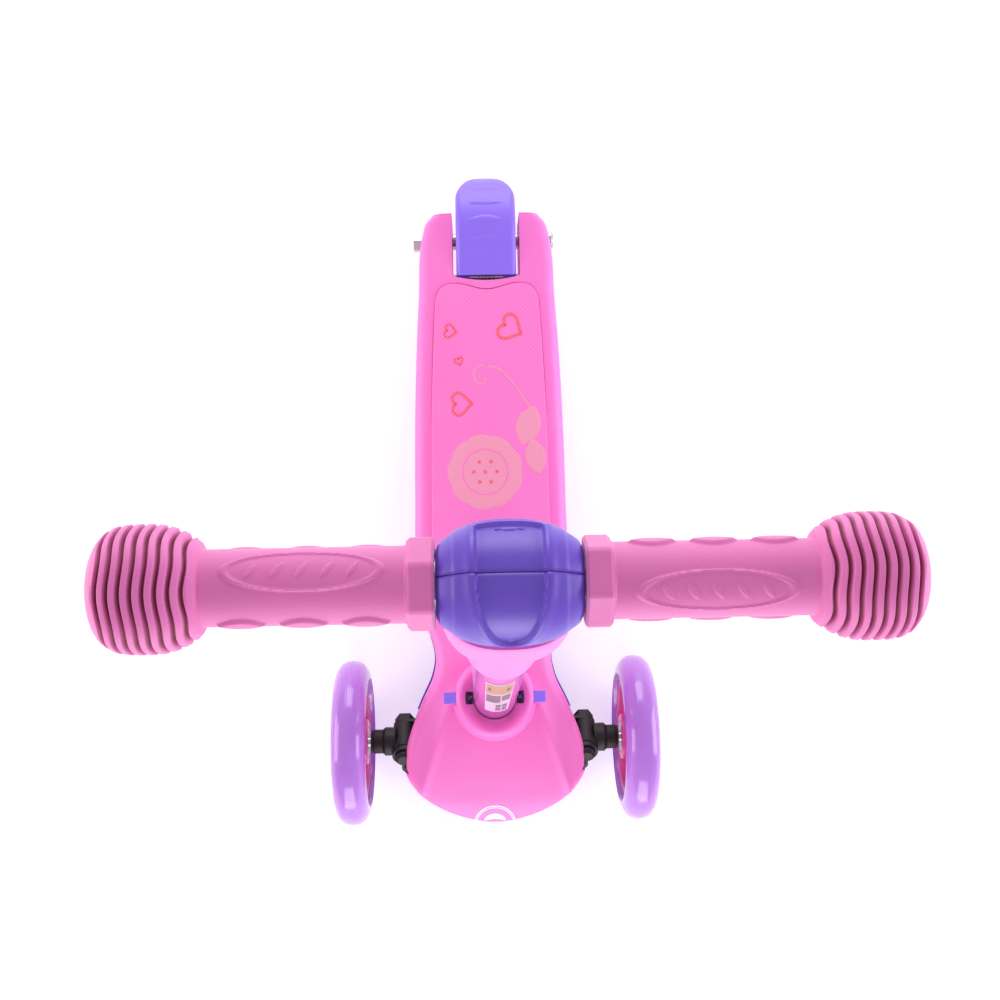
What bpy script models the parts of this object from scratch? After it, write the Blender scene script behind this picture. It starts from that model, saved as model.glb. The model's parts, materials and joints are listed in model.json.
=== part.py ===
"""Toddler kick scooter with three wheels, lean-to-steer front axle and rear foot brake.

Metres, +Z up, the nose faces -Y.  The origin is on the ground under the middle of the scooter.
Each object is one separate physical piece, or one group of identical fasteners.
"""
from math import asin, cos, pi, radians, sin, sqrt

import bmesh
import bpy
import numpy as np
from mathutils import Matrix, Vector

# ---------------------------------------------------------------- driving dimensions
GAP = 0.0003                    # air left between touching pieces
AXLE_Y = -0.1815                # front axle, so that the scooter is centred on the origin
FRONT_WHEEL_R = 0.060
WHEEL_WIDTH = 0.0245
TRACK_HALF = 0.10425            # wheel centre to the scooter's middle plane
REAR_AXLE_Y = AXLE_Y + 0.376
REAR_WHEEL_R = 0.040
STEM_LEAN = radians(12.0)       # rearward lean of the stem
STEM_FOOT = Vector((0.0, AXLE_Y + 0.0349, 0.097))   # stem axis at the deck collar
BAR_ALONG_STEM = 0.4727         # handlebar axis above the stem foot, along the stem
BAR_HALF = 0.1490
KINGPIN_X = 0.067
KINGPIN_LEAN = radians(40.0)    # the kingpin's top leans towards the nose
STEER_ARM = 0.020               # steering arm, kingpin to tie rod pin
TIE_X = 0.0640                  # tie rod pins to the middle plane
TIE_LEVEL = 0.0066              # tie rod above the arms, along the kingpin
DECK_REAR = AXLE_Y + 0.389
NOSE_WIDEST = AXLE_Y - 0.017
NOSE_LENGTH = 0.0427
NOSE_TIP = AXLE_Y - 0.0594
DECK_WALL = 0.003
SLOT_HALF = 0.0248
SLOT_FRONT = AXLE_Y + 0.3385
HUB_HALF = 0.0262               # hub half width; it is full in the middle and drawn in at its ends
HUB_RADIUS = 0.0234
HUB_TAPER = 0.0086
HUB_SCREW_X = 0.0165            # hub screws run rearward through the rear shell, below the crossbar
HUB_SCREW_Z = -0.0130
HUB_SCREW_HEAD = 0.0100
BOLT_R = 0.0040                 # 8 mm axle bolts and kingpins
BOLT_BORE = 0.0043
BEARING_R = 0.0109              # 22 mm bearings with an 8 mm bore
BEARING_BORE = 0.0042
BRAKE_PIVOT = Vector((0.0, AXLE_Y + 0.343, 0.069))
FENDER_HALF = 0.0220
FENDER_WALL = 0.0024
FENDER_ARCH = 0.0470            # fender's radius round the rear axle
CLAMP_AT = (0, 0.0212, 0.3740)  # clamp screw of the height collar, in the stem's frame
BUTTON_LEVEL = 0.00415          # release buttons above the stem foot
TRAY_LIP = 0.0013               # how far the tray stands out beyond the deck's sides
PAD_MARGIN = 0.0123             # from the deck's side to the grip pad

# neck: level along the stem, half width, half depth
NECK_RINGS = [(0.3980, 0.0212, 0.0190), (0.4005, 0.0236, 0.0207), (0.4090, 0.0256, 0.0221),
              (0.4280, 0.0262, 0.0228), (0.4520, 0.0262, 0.0231), (0.4570, 0.0256, 0.0226)]
NECK_POWER = 2.5
# deck half width at stations behind the front axle
HALF_WIDTHS = [(-0.017, 0.0665), (0.000, 0.0640), (0.016, 0.0586), (0.032, 0.0518), (0.047, 0.0448),
               (0.062, 0.0420), (0.075, 0.0445), (0.092, 0.0525), (0.115, 0.0553), (0.180, 0.0556),
               (0.250, 0.0542), (0.325, 0.0505), (0.376, 0.0464), (0.383, 0.0444), (0.389, 0.0395)]
# deck top height on the centre line
TOP_HEIGHTS = [(-0.060, 0.0665), (-0.050, 0.0735), (-0.030, 0.0815), (0.000, 0.0885), (0.035, 0.0920),
               (0.062, 0.0895), (0.095, 0.0810), (0.130, 0.0800), (0.340, 0.0800), (0.389, 0.0780)]

PINK, HOT_PINK, PURPLE, LILAC = (1.0, 0.22, 0.62), (0.9, 0.1, 0.4), (0.2, 0.1, 0.7), (0.6, 0.3, 0.85)
BLACK, STEEL, BRASS = (0.012, 0.01, 0.014), (0.6, 0.6, 0.62), (0.75, 0.55, 0.25)


# ---------------------------------------------------------------- small tools
def clear_scene():
    """Remove every object, so the file builds the same from any start."""
    for thing in list(bpy.data.objects):
        bpy.data.objects.remove(thing, do_unlink=True)


def finish_material(name, colour, roughness, metallic=0.0):
    """A plain Principled material."""
    mat = bpy.data.materials.new(name)
    mat.use_nodes = True
    shader = mat.node_tree.nodes["Principled BSDF"]
    shader.inputs["Base Color"].default_value = (*colour, 1.0)
    shader.inputs["Roughness"].default_value = roughness
    shader.inputs["Metallic"].default_value = metallic
    return mat


def empty(name, location, rotation=(0.0, 0.0, 0.0)):
    """An empty that marks a joint or a sub-assembly."""
    marker = bpy.data.objects.new(name, None)
    marker.location = location
    marker.rotation_euler = rotation
    bpy.context.scene.collection.objects.link(marker)
    return marker


def place(name, mesh, mat, parent=None, location=(0.0, 0.0, 0.0), rotation=(0.0, 0.0, 0.0)):
    """Link a bmesh into the scene as a named object."""
    bmesh.ops.recalc_face_normals(mesh, faces=mesh.faces)
    data = bpy.data.meshes.new(name)
    mesh.to_mesh(data)
    mesh.free()
    data.shade_smooth()
    data.set_sharp_from_angle(angle=radians(35.0))
    thing = bpy.data.objects.new(name, data)
    if mat is not None:
        data.materials.append(mat)
    thing.location = location
    thing.rotation_euler = rotation
    thing.parent = parent
    bpy.context.scene.collection.objects.link(thing)
    return thing


def cut(target, mesh, mode="DIFFERENCE", parent=None, location=(0.0, 0.0, 0.0), rotation=(0.0, 0.0, 0.0)):
    """Cut, or join, a hidden bmesh shape with a Boolean modifier."""
    guide = place(target.name + "_guide", mesh, None, parent, location, rotation)
    guide.hide_render = True
    guide.display_type = "WIRE"
    step = target.modifiers.new(mode.lower(), "BOOLEAN")
    step.operation = mode
    step.object = guide
    return guide


def turned(profile, segments=24):
    """Spin a closed (radius, height) outline round Z; points at radius 0 become poles."""
    mesh = bmesh.new()
    corners = [mesh.verts.new((r, 0.0, z)) for r, z in profile]
    count = len(corners)
    edges = []
    for i in range(count):
        a, b = corners[i], corners[(i + 1) % count]
        if a.co.x > 1e-7 or b.co.x > 1e-7:
            edges.append(mesh.edges.new((a, b)))
    bmesh.ops.spin(mesh, geom=corners + edges, cent=(0, 0, 0), axis=(0, 0, 1), dvec=(0, 0, 0),
                   angle=2 * pi, steps=segments, use_merge=True)
    bmesh.ops.remove_doubles(mesh, verts=mesh.verts, dist=1e-6)
    return mesh


def rod(radius, z0, z1, segments=16):
    """A solid cylinder along Z."""
    return turned([(0.0, z0), (radius, z0), (radius, z1), (0.0, z1)], segments)


def pipe(outer, inner, z0, z1, segments=20):
    """A tube along Z."""
    return turned([(inner, z0), (outer, z0), (outer, z1), (inner, z1)], segments)


def block(low, high):
    """A box between two corners."""
    mesh = bmesh.new()
    bmesh.ops.create_cube(mesh, size=1.0)
    for vert in mesh.verts:
        vert.co = Vector([lo + (c + 0.5) * (hi - lo) for lo, hi, c in zip(low, high, vert.co)])
    return mesh


def moved(mesh, matrix):
    """Transform a bmesh and return it."""
    bmesh.ops.transform(mesh, matrix=matrix, verts=mesh.verts)
    return mesh


def loft(rings):
    """Join equal rings of points with quads and close both ends."""
    mesh = bmesh.new()
    rows = [[mesh.verts.new(point) for point in ring] for ring in rings]
    count = len(rows[0])
    for near, far in zip(rows, rows[1:]):
        for i in range(count):
            j = (i + 1) % count
            mesh.faces.new((near[i], near[j], far[j], far[i]))
    mesh.faces.new(rows[0])
    mesh.faces.new(rows[-1])
    return mesh


def smooth_value(table, x):
    """Cubic curve through a short table of (position, value) pairs."""
    xs, ys = np.array(table).T
    slopes = np.gradient(ys, xs)
    i = int(np.clip(np.searchsorted(xs, x) - 1, 0, len(xs) - 2))
    h = xs[i + 1] - xs[i]
    t = min(max((x - xs[i]) / h, 0.0), 1.0)
    return float((2 * t**3 - 3 * t**2 + 1) * ys[i] + (t**3 - 2 * t**2 + t) * h * slopes[i]
                 + (3 * t**2 - 2 * t**3) * ys[i + 1] + (t**3 - t**2) * h * slopes[i + 1])


def half_width(y):
    """Deck half width: a superellipse nose, then a smooth curve."""
    if y < NOSE_WIDEST:
        t = min((NOSE_WIDEST - y) / NOSE_LENGTH, 0.999)
        return HALF_WIDTHS[0][1] * (1.0 - t**1.8) ** (1.0 / 1.8)
    return smooth_value(HALF_WIDTHS, y - AXLE_Y)


def deck_top(y):
    """Deck height on the centre line."""
    return smooth_value(TOP_HEIGHTS, y - AXLE_Y)


def deck_bottom(y):
    """Lower rim: high over the tray at the nose, low at the rear axle arms."""
    behind = y - AXLE_Y
    if behind < 0.080:
        return 0.062
    if behind < 0.096:
        return 0.062 - (behind - 0.080) / 0.016 * 0.012
    if behind < 0.335:
        return 0.050
    return max(0.050 - (behind - 0.335) / 0.018 * 0.020, 0.030)


def deck_ring(y, inset=0.0, bottom=None):
    """Rounded cross-section of the deck at y, drawn in by inset; bottom overrides its lower rim."""
    wide = max(half_width(y) - inset, 0.003)
    top = deck_top(y) - inset
    base = deck_bottom(y) if bottom is None else bottom
    edge = min(0.008, wide * 0.7, (top - base) * 0.45)
    crown = 0.0025 * min(1.0, wide / 0.04)
    arc = [(wide - edge * (1 - cos(a)), top - crown - edge * (1 - sin(a))) for a in (0.0, pi / 6, pi / 3, pi / 2)]
    right = [(wide, base)] + arc + [(wide * 0.4, top - crown * 0.25)]
    left = [(-x, z) for x, z in reversed(right)]
    return [(x, y, z) for x, z in right + left]


def stations(start, end, step):
    """Evenly spaced stations from start to end."""
    return list(np.linspace(start, end, max(2, int(round((end - start) / step)) + 1)))


# ---------------------------------------------------------------- deck
def build_deck(mats):
    """Moulded deck with hollow underside, rear wheel slot, stem socket and ridge collar."""
    lengths = [NOSE_TIP + ahead for ahead in (0.0, 0.002, 0.006, 0.012, 0.020, 0.030)]
    lengths += stations(NOSE_TIP + 0.0424, AXLE_Y + 0.0795, 0.0125) + [AXLE_Y + 0.087, AXLE_Y + 0.0965, AXLE_Y + 0.113]
    lengths += stations(AXLE_Y + 0.140, AXLE_Y + 0.335, 0.033)
    lengths += [AXLE_Y + 0.344, AXLE_Y + 0.353, AXLE_Y + 0.366, AXLE_Y + 0.376, AXLE_Y + 0.383, DECK_REAR]
    deck = place("deck_shell", loft([deck_ring(y) for y in lengths]), mats["pink"])
    bays = [(AXLE_Y - 0.0555, AXLE_Y + 0.086)]
    rib_pitch, rib = 0.0490, 0.0025
    bays += [(AXLE_Y + 0.0885 + i * rib_pitch, AXLE_Y + 0.0885 + (i + 1) * rib_pitch - rib) for i in range(5)]
    for start, end in bays:
        rings = [deck_ring(y, DECK_WALL, bottom=0.020) for y in stations(start, end, 0.0135)]
        cut(deck, loft(rings))
    foot = empty("stem_frame", STEM_FOOT, (-STEM_LEAN, 0.0, 0.0))
    socket = turned([(0.0, -0.031), (0.0195, -0.031), (0.0195, -0.012), (0.0305, -0.0085), (0.0284, 0.0045),
                     (0.0264, 0.0088), (0.0238, 0.0097), (0.0213, 0.0070), (0.0175, 0.0030), (0.0, 0.0030)], 24)
    cut(deck, socket, "UNION", foot)
    cut(deck, rod(0.0154, -0.0283, 0.02, 24), parent=foot)
    cut(deck, block((-0.040, -0.0045, 0.0015), (0.040, 0.0045, 0.0068)), parent=foot)
    slot = [(x, SLOT_FRONT + 0.0035 * abs(x / SLOT_HALF) ** 2, 0.0) for x in np.linspace(-SLOT_HALF, SLOT_HALF, 7)]
    slot += [(SLOT_HALF, DECK_REAR + 0.01, 0.0), (-SLOT_HALF, DECK_REAR + 0.01, 0.0)]
    cut(deck, loft([[(x, y, 0.01) for x, y, _ in slot], [(x, y, 0.12) for x, y, _ in slot]]))
    for side in (-1, 1):
        low_x, high_x = sorted((side * 0.050, side * 0.090))
        cut(deck, block((low_x, AXLE_Y - 0.0215, 0.030), (high_x, AXLE_Y + 0.0235, 0.0775)))
    cross = (0.0, pi / 2, 0.0)
    cut(deck, rod(0.0042, -0.06, 0.06), location=(0, REAR_AXLE_Y, REAR_WHEEL_R), rotation=cross)
    cut(deck, rod(0.0022, -0.0320, 0.0320, 12), location=BRAKE_PIVOT, rotation=cross)
    cut(deck, rod(0.0424, -0.0160, 0.0160, 32), location=(0, REAR_AXLE_Y, REAR_WHEEL_R), rotation=cross)
    cut(deck, rod(0.0044, -0.0236, 0.0236, 20), location=BRAKE_PIVOT, rotation=cross)
    recess = [deck_pad_ring(0.0786 + 0.004 * k, -GAP) for k in (0, 1)]
    cut(deck, loft(recess))
    return foot


def deck_pad_ring(z, inset):
    """Outline of the grip pad at height z: parallel to the deck's sides with round corners."""
    front, rear, round_off = AXLE_Y + 0.094, AXLE_Y + 0.3365, 0.012
    right = []
    for y in stations(front + round_off, rear - round_off, 0.040):
        right.append((half_width(y) - PAD_MARGIN - inset, y))
    for a in (pi / 8, pi / 4, 3 * pi / 8, pi / 2):
        corner = half_width(rear) - PAD_MARGIN - round_off
        right.append((corner + (round_off - inset) * cos(a), rear - round_off + (round_off - inset) * sin(a)))
    dip = [(x, rear - inset - 0.0042 * (1 - (x / 0.024) ** 2)) for x in (0.020, 0.0, -0.020)]
    left = [(-x, y) for x, y in reversed(right)]
    nose = []
    for a in (pi / 2, 3 * pi / 8, pi / 4, pi / 8):
        corner = half_width(front) - PAD_MARGIN - round_off
        nose.append((-corner - (round_off - inset) * cos(a), front + round_off - (round_off - inset) * sin(a)))
    nose = list(reversed(nose))
    end = [(-x, y) for x, y in reversed(nose)]
    return [(x, y, z) for x, y in right + dip + left + nose + end]


def build_pad(mats):
    """Soft grip pad let into the deck's top."""
    place("deck_grip_pad", loft([deck_pad_ring(0.0789, 0.0004), deck_pad_ring(0.0808, 0.0004)]), mats["pad"])


def build_tray(mats):
    """Purple tray that closes the steering bay from below."""
    def outline(z, inset):
        ys = [AXLE_Y + d for d in (-0.0596, -0.0587, -0.0555, -0.049, -0.041, -0.030, -0.017, 0.0, 0.016, 0.032,
                                   0.047, 0.062, 0.077)]
        right = [(max(half_width(y) + TRAY_LIP - inset, 0.003), max(y, AXLE_Y - 0.0599 + inset)) for y in ys]
        right[-1] = (right[-1][0], right[-1][1] - inset)
        return [(x, y, z) for x, y in right] + [(-x, y, z) for x, y in reversed(right)]
    tray = place("under_tray", loft([outline(0.038, 0.005), outline(0.0425, 0.0), outline(0.0617, 0.0)]),
                 mats["purple"])
    cut(tray, loft([outline(0.0405, 0.0065), outline(0.0440, 0.0026), outline(0.070, 0.0026)]))
    for side in (-1, 1):
        low_x, high_x = sorted((side * 0.044, side * 0.090))
        cut(tray, block((low_x, AXLE_Y - 0.0300, 0.0402), (high_x, AXLE_Y + 0.0235, 0.070)))
    for word, y in (("front", -0.036), ("rear", 0.058)):
        cut(tray, rod(0.0022, 0.030, 0.045, 10), location=(0, AXLE_Y + y, 0.0))
        screw = turned([(0.0, 0.0360), (0.0036, 0.0364), (0.0036, 0.0377), (0.0018, 0.0377), (0.0018, 0.0560),
                        (0.0, 0.0575)], 10)
        place("tray_screw_" + word, screw, mats["steel"], location=(0, AXLE_Y + y, 0.0))


# ---------------------------------------------------------------- steering
def build_truck(mats):
    """Steering frame, kingpins, knuckles, tie rod and centring springs."""
    truck = empty("truck_axis", (0.0, AXLE_Y, FRONT_WHEEL_R), (KINGPIN_LEAN, 0.0, 0.0))
    frame = place("truck_frame", block((-0.0530, -0.0085, -0.0080), (0.0530, 0.0085, 0.0080)), mats["black"], truck)
    for side in (-1, 1):
        low_x, high_x = sorted((side * 0.0500, side * 0.0570))
        cut(frame, block((low_x, -0.0088, -0.0148), (high_x, 0.0088, 0.0148)), "UNION", truck)
        for level in (-1, 1):
            low_z, high_z = sorted((level * 0.0113, level * 0.0147))
            near_x, far_x = sorted((-side * 0.0150, 0.0))
            ear = block((near_x, -0.0086, low_z), (far_x, 0.0086, high_z))
            cut(frame, ear, "UNION", truck, (side * KINGPIN_X, 0, 0))
            cut(frame, rod(0.0085, low_z + level * 0.0001, high_z, 20), "UNION", truck, (side * KINGPIN_X, 0, 0))
        cut(frame, rod(BOLT_BORE, -0.02, 0.02), parent=truck, location=(side * KINGPIN_X, 0, 0))
        cut(frame, block((-0.0025, -0.0270, 0.0010), (0.0025, -0.0080, 0.0078)), "UNION", truck,
            (side * 0.040, 0, 0))
        cut(frame, block((-0.0035, -0.0245, 0.0020), (0.0035, -0.0155, 0.0100)), parent=truck,
            location=(side * 0.040, 0, 0))
    for side, word in ((-1, "left"), (1, "right")):
        at = (side * KINGPIN_X, 0, 0)
        pin = turned([(0.0, -0.0225), (BOLT_R, -0.0225), (BOLT_R, 0.0150), (0.0065, 0.0150),
                      (0.0065, 0.0172), (0.0045, 0.0192), (0.0, 0.0197)], 16)
        place("kingpin_" + word, pin, mats["black"], truck, at)
        nut = turned([(0.0050, -0.0215), (0.0076, -0.0215), (0.0076, -0.0151), (0.0050, -0.0151)], 6)
        place("kingpin_nut_" + word, nut, mats["steel"], truck, at)
        build_knuckle(mats, truck, side, word)
    rod_mesh = moved(rod(0.0030, 0.0045 - TIE_X, TIE_X - 0.0045, 12), Matrix.Rotation(pi / 2, 4, "Y"))
    tie = place("tie_rod", rod_mesh, mats["steel"], truck, (0, -STEER_ARM, TIE_LEVEL))
    for side in (-1, 1):
        cut(tie, rod(0.0055, -0.0025, 0.0025, 16), "UNION", truck, (side * TIE_X, -STEER_ARM, TIE_LEVEL))
        cut(tie, rod(0.0026, -0.01, 0.01, 10), parent=truck, location=(side * TIE_X, -STEER_ARM, TIE_LEVEL))
    collar = moved(rod(0.0060, -0.0040, 0.0040, 16), Matrix.Rotation(pi / 2, 4, "Y"))
    cut(tie, collar, "UNION", truck, (0, -STEER_ARM, TIE_LEVEL))
    for side, word in ((-1, "left"), (1, "right")):
        spring = coil(0.0047, 0.0006, 0.0275, 6)
        spring = moved(spring, Matrix.Rotation(side * pi / 2, 4, "Y"))
        place("centring_spring_" + word, spring, mats["steel"], truck, (side * 0.0052, -STEER_ARM, TIE_LEVEL))


def coil(radius, wire, length, turns, per_turn=8, sides=4):
    """A helical spring along +Z with closed wire ends."""
    rings = []
    steps = turns * per_turn
    for i in range(steps + 1):
        a = 2 * pi * i / per_turn
        centre = Vector((radius * cos(a), radius * sin(a), wire + (length - 2 * wire) * i / steps))
        out = Vector((cos(a), sin(a), 0.0))
        rings.append([centre + wire * (cos(b) * out + sin(b) * Vector((0, 0, 1)))
                      for b in (2 * pi * k / sides for k in range(sides))])
    return loft(rings)


def build_knuckle(mats, truck, side, word):
    """Knuckle: boss on the kingpin, steering arm, axle sleeve, and the pin of the tie rod."""
    at = (side * KINGPIN_X, 0, 0)
    knuckle = place("knuckle_" + word, rod(0.0092, -0.0110, 0.0110, 20), mats["black"], truck, at)
    world = (side * KINGPIN_X, AXLE_Y, FRONT_WHEEL_R)
    across = (0.0, side * pi / 2, 0.0)
    sleeve = turned([(0.0, 0.002), (0.0105, 0.002), (0.0105, 0.0140), (0.00875, 0.0155), (0.00875, 0.0243),
                     (0.0, 0.0243)], 20)
    cut(knuckle, sleeve, "UNION", None, world, across)
    arm_x = TIE_X - KINGPIN_X
    low_x, high_x = sorted((side * (arm_x - 0.0045), side * (arm_x + 0.0045)))
    cut(knuckle, block((low_x, -STEER_ARM, -0.0030), (high_x, -0.0020, 0.0030)), "UNION", truck, at)
    cut(knuckle, rod(0.0050, -0.0031, 0.0031, 16), "UNION", truck, (side * TIE_X, -STEER_ARM, 0))
    cut(knuckle, rod(BOLT_BORE, -0.02, 0.02, 16), parent=truck, location=at)
    cut(knuckle, rod(BOLT_BORE, 0.0085, 0.03, 16), location=world, rotation=across)
    cut(knuckle, rod(0.0025, -0.01, 0.01, 10), parent=truck, location=(side * TIE_X, -STEER_ARM, 0))
    pin = turned([(0.0, -0.0052), (0.0036, -0.0052), (0.0036, -0.0034), (0.0022, -0.0034), (0.0022, 0.0092),
                  (0.0036, 0.0092), (0.0036, 0.0106), (0.0, 0.0106)], 12)
    place("tie_rod_pin_" + word, pin, mats["steel"], truck, (side * TIE_X, -STEER_ARM, 0))


# ---------------------------------------------------------------- wheels
def tyre_profile(radius, width, depth):
    """Rounded tread with soft shoulders over a flat seat."""
    half, seat = width / 2, radius - depth
    crown = [(radius - 0.30 * half * (1 - cos(asin(min(1.0, abs(t)))) ) / 0.45, t * half * 0.86)
             for t in (-0.9, -0.5, 0.0, 0.5, 0.9)]
    return [(seat, -half * 0.78), (seat + 0.003, -half), (radius - 0.006, -half)] + crown + \
           [(radius - 0.006, half), (seat + 0.003, half), (seat, half * 0.78)]


def front_core(mats, name, parent, side):
    """Wheel core: rim, hub and swept spokes between them."""
    rim = [(0.0385, -0.0090), (0.0455, -0.0090), (0.0455, 0.0090), (0.0385, 0.0090)]
    hub = [(0.0112, -0.0110), (0.0165, -0.0110), (0.0165, 0.0110), (0.0112, 0.0110)]
    core = place(name, turned(rim, 32), mats["hot_pink"], parent)
    spokes = 6
    for i in range(spokes):
        rings = []
        for k in range(4):
            r = 0.0140 + (0.0405 - 0.0140) * k / 3
            a = 2 * pi * i / spokes + side * 0.75 * (k / 3) ** 1.3
            out, along = Vector((cos(a), sin(a), 0)), Vector((-sin(a), cos(a), 0))
            half, thick = 0.0052 - 0.0006 * k, 0.0048 - 0.0002 * k
            rings.append([out * r + along * half * p + Vector((0, 0, thick * q))
                          for p, q in ((-1, -1), (1, -1), (1, 1), (-1, 1))])
        cut(core, loft(rings), "UNION", parent)
    cut(core, turned(hub, 20), "UNION", parent)
    cut(core, rod(0.0112, -0.02, 0.02, 20), parent=parent)
    return core


def place_bearings(prefix, mat, hub, centre, width, segments=20):
    """A bearing on each side of the hub, each modelled as one closed ring."""
    for side, word in ((-1, "a"), (1, "b")):
        z0, z1 = side * centre - width / 2, side * centre + width / 2
        ring = pipe(BEARING_R, BEARING_BORE, z0, z1, segments)
        place(prefix + "_bearing_" + word, ring, mat, hub)


def build_front_wheel(mats, side, word):
    """Tyre, core, bearings, spacer and axle bolt of one front wheel."""
    hub = empty("axle_" + word, (side * TRACK_HALF, AXLE_Y, FRONT_WHEEL_R), (0.0, side * pi / 2, 0.0))
    tyre = turned(tyre_profile(FRONT_WHEEL_R, WHEEL_WIDTH, 0.0142), 40)
    place(word + "_tyre", tyre, mats["lilac"], hub)
    front_core(mats, word + "_wheel_core", hub, side)
    place_bearings(word, mats["steel"], hub, 0.0074, 0.0068)
    place(word + "_bearing_spacer", pipe(0.0060, BEARING_BORE, -0.0036, 0.0036, 16), mats["steel"], hub)
    bolt = turned([(0.0, -0.0280), (BOLT_R, -0.0280), (BOLT_R, 0.0114), (0.0068, 0.0114), (0.0068, 0.0128),
                   (0.0050, 0.0142), (0.0, 0.0146)], 16)
    place(word + "_axle_bolt", bolt, mats["steel"], hub)


def build_rear_wheel(mats):
    """Rear wheel with its axle, held between the deck's two arms."""
    hub = empty("rear_axle", (0.0, REAR_AXLE_Y, REAR_WHEEL_R), (0.0, pi / 2, 0.0))
    place("rear_tyre", turned(tyre_profile(REAR_WHEEL_R, 0.0240, 0.0110), 32), mats["lilac"], hub)
    core = [(0.0112, -0.0105), (0.0150, -0.0105), (0.0155, -0.0060), (0.0225, -0.0060), (0.0235, -0.0088),
            (0.0287, -0.0088), (0.0287, 0.0088), (0.0235, 0.0088), (0.0225, 0.0060), (0.0155, 0.0060),
            (0.0150, 0.0105), (0.0112, 0.0105)]
    place("rear_wheel_core", turned(core, 24), mats["hot_pink"], hub)
    place_bearings("rear", mats["steel"], hub, 0.0072, 0.0062)
    place("rear_bearing_spacer", pipe(0.0060, BEARING_BORE, -0.0037, 0.0037, 16), mats["steel"], hub)
    for word, z0, z1 in (("left", -0.0245, -0.0108), ("right", 0.0108, 0.0245)):
        place("rear_axle_spacer_" + word, pipe(0.0062, 0.0043, z0, z1, 16), mats["steel"], hub)
    arm = half_width(REAR_AXLE_Y - 0.008)
    bolt = turned([(0.0, -arm - 0.0040), (0.0036, -arm - 0.0040), (0.0036, arm + 0.0004), (0.0070, arm + 0.0004),
                   (0.0070, arm + 0.0022), (0.0052, arm + 0.0038), (0.0, arm + 0.0042)], 16)
    place("rear_axle_bolt", bolt, mats["steel"], hub)
    nut = turned([(0.0046, -arm - 0.0064), (0.0074, -arm - 0.0064), (0.0074, -arm - 0.0004),
                  (0.0046, -arm - 0.0004)], 6)
    place("rear_axle_nut", nut, mats["steel"], hub)


# ---------------------------------------------------------------- brake
def fender_top(d):
    """Height of the brake fender's back at a distance d behind the front axle."""
    if d < 0.376:
        t = (0.376 - d) / 0.0335
        return 0.0870 - 0.0068 * t**1.6
    return REAR_WHEEL_R + sqrt(max(FENDER_ARCH**2 - (d - 0.376) ** 2, 0.0))


def build_brake(mats):
    """Foot brake: curved fender, wear plate, pivot pin and return spring."""
    pivot = empty("brake_axis", BRAKE_PIVOT)
    ends = [0.3425 + 0.0335 * k / 4 for k in range(5)]
    ends += [0.376 + FENDER_ARCH * sin(a) for a in np.linspace(0.22, asin(0.0464 / FENDER_ARCH), 8)]
    rings = []
    for d in ends:
        full = FENDER_HALF
        if d > 0.402:
            full = FENDER_HALF * sqrt(max(1.0 - ((d - 0.402) / 0.0212) ** 2, 0.04))
        top = fender_top(d)
        slope = Vector((0.0, 0.0, 1.0))
        if d > 0.376:
            a = asin((d - 0.376) / FENDER_ARCH)
            slope = Vector((0.0, sin(a), cos(a)))
        skirt = 0.0034 + 0.0101 * min(1.0, max(0.0, (full - 0.0160) / 0.0050))
        shoulder = min(0.0060, skirt * 0.8)
        outer = [(full, -skirt), (full, -shoulder), (full - 0.0018, -0.0020), (full * 0.7, -0.0004), (0.0, 0.0)]
        inside = max(full - FENDER_WALL, 0.0004)
        inner = [(inside, -skirt), (inside, -shoulder), (full * 0.45, -0.0026), (0.0, -FENDER_WALL)]
        half = outer + [(-x, z) for x, z in reversed(outer[:-1])]
        back = [(-x, z) for x, z in inner] + [(x, z) for x, z in reversed(inner[:-1])]
        base = Vector((0.0, AXLE_Y + d, top)) - pivot.location
        rings.append([base + Vector((x, 0, 0)) + slope * z for x, z in half + back])
    fender = place("brake_fender", loft(rings), mats["purple"], pivot)
    across = (0.0, pi / 2, 0.0)
    for side in (-1, 1):
        z0, z1 = sorted((side * 0.0125, side * 0.0219))
        cut(fender, rod(0.0034, z0, z1, 16), "UNION", pivot, (0, 0, 0), across)
        low_x, high_x = sorted((side * 0.0193, side * 0.0219))
        cut(fender, block((low_x, -0.0005, -0.0002), (high_x, 0.0140, 0.0100)), "UNION", pivot)
    cut(fender, rod(0.0023, -0.03, 0.03, 12), parent=pivot, rotation=across)
    place("brake_pivot_pin", rod(0.0020, -0.0300, 0.0300, 12), mats["steel"], pivot, rotation=across)
    angles = np.linspace(-0.16, 0.16, 5)
    outer = [(0.0435 * sin(a), 0.0435 * cos(a)) for a in angles]
    inner = [(0.0426 * sin(a), 0.0426 * cos(a)) for a in reversed(angles)]
    plate = [[(x, REAR_AXLE_Y + y, REAR_WHEEL_R + z) for y, z in outer + inner] for x in (-0.0095, 0.0095)]
    place("brake_wear_plate", moved(loft(plate), Matrix.Translation(-pivot.location)), mats["steel"], pivot)
    spring = moved(coil(0.0029, 0.0004, 0.0140, 5), Matrix.Translation((0, 0, -0.0070)))
    place("brake_return_spring", spring, mats["steel"], pivot, rotation=across)


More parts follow.
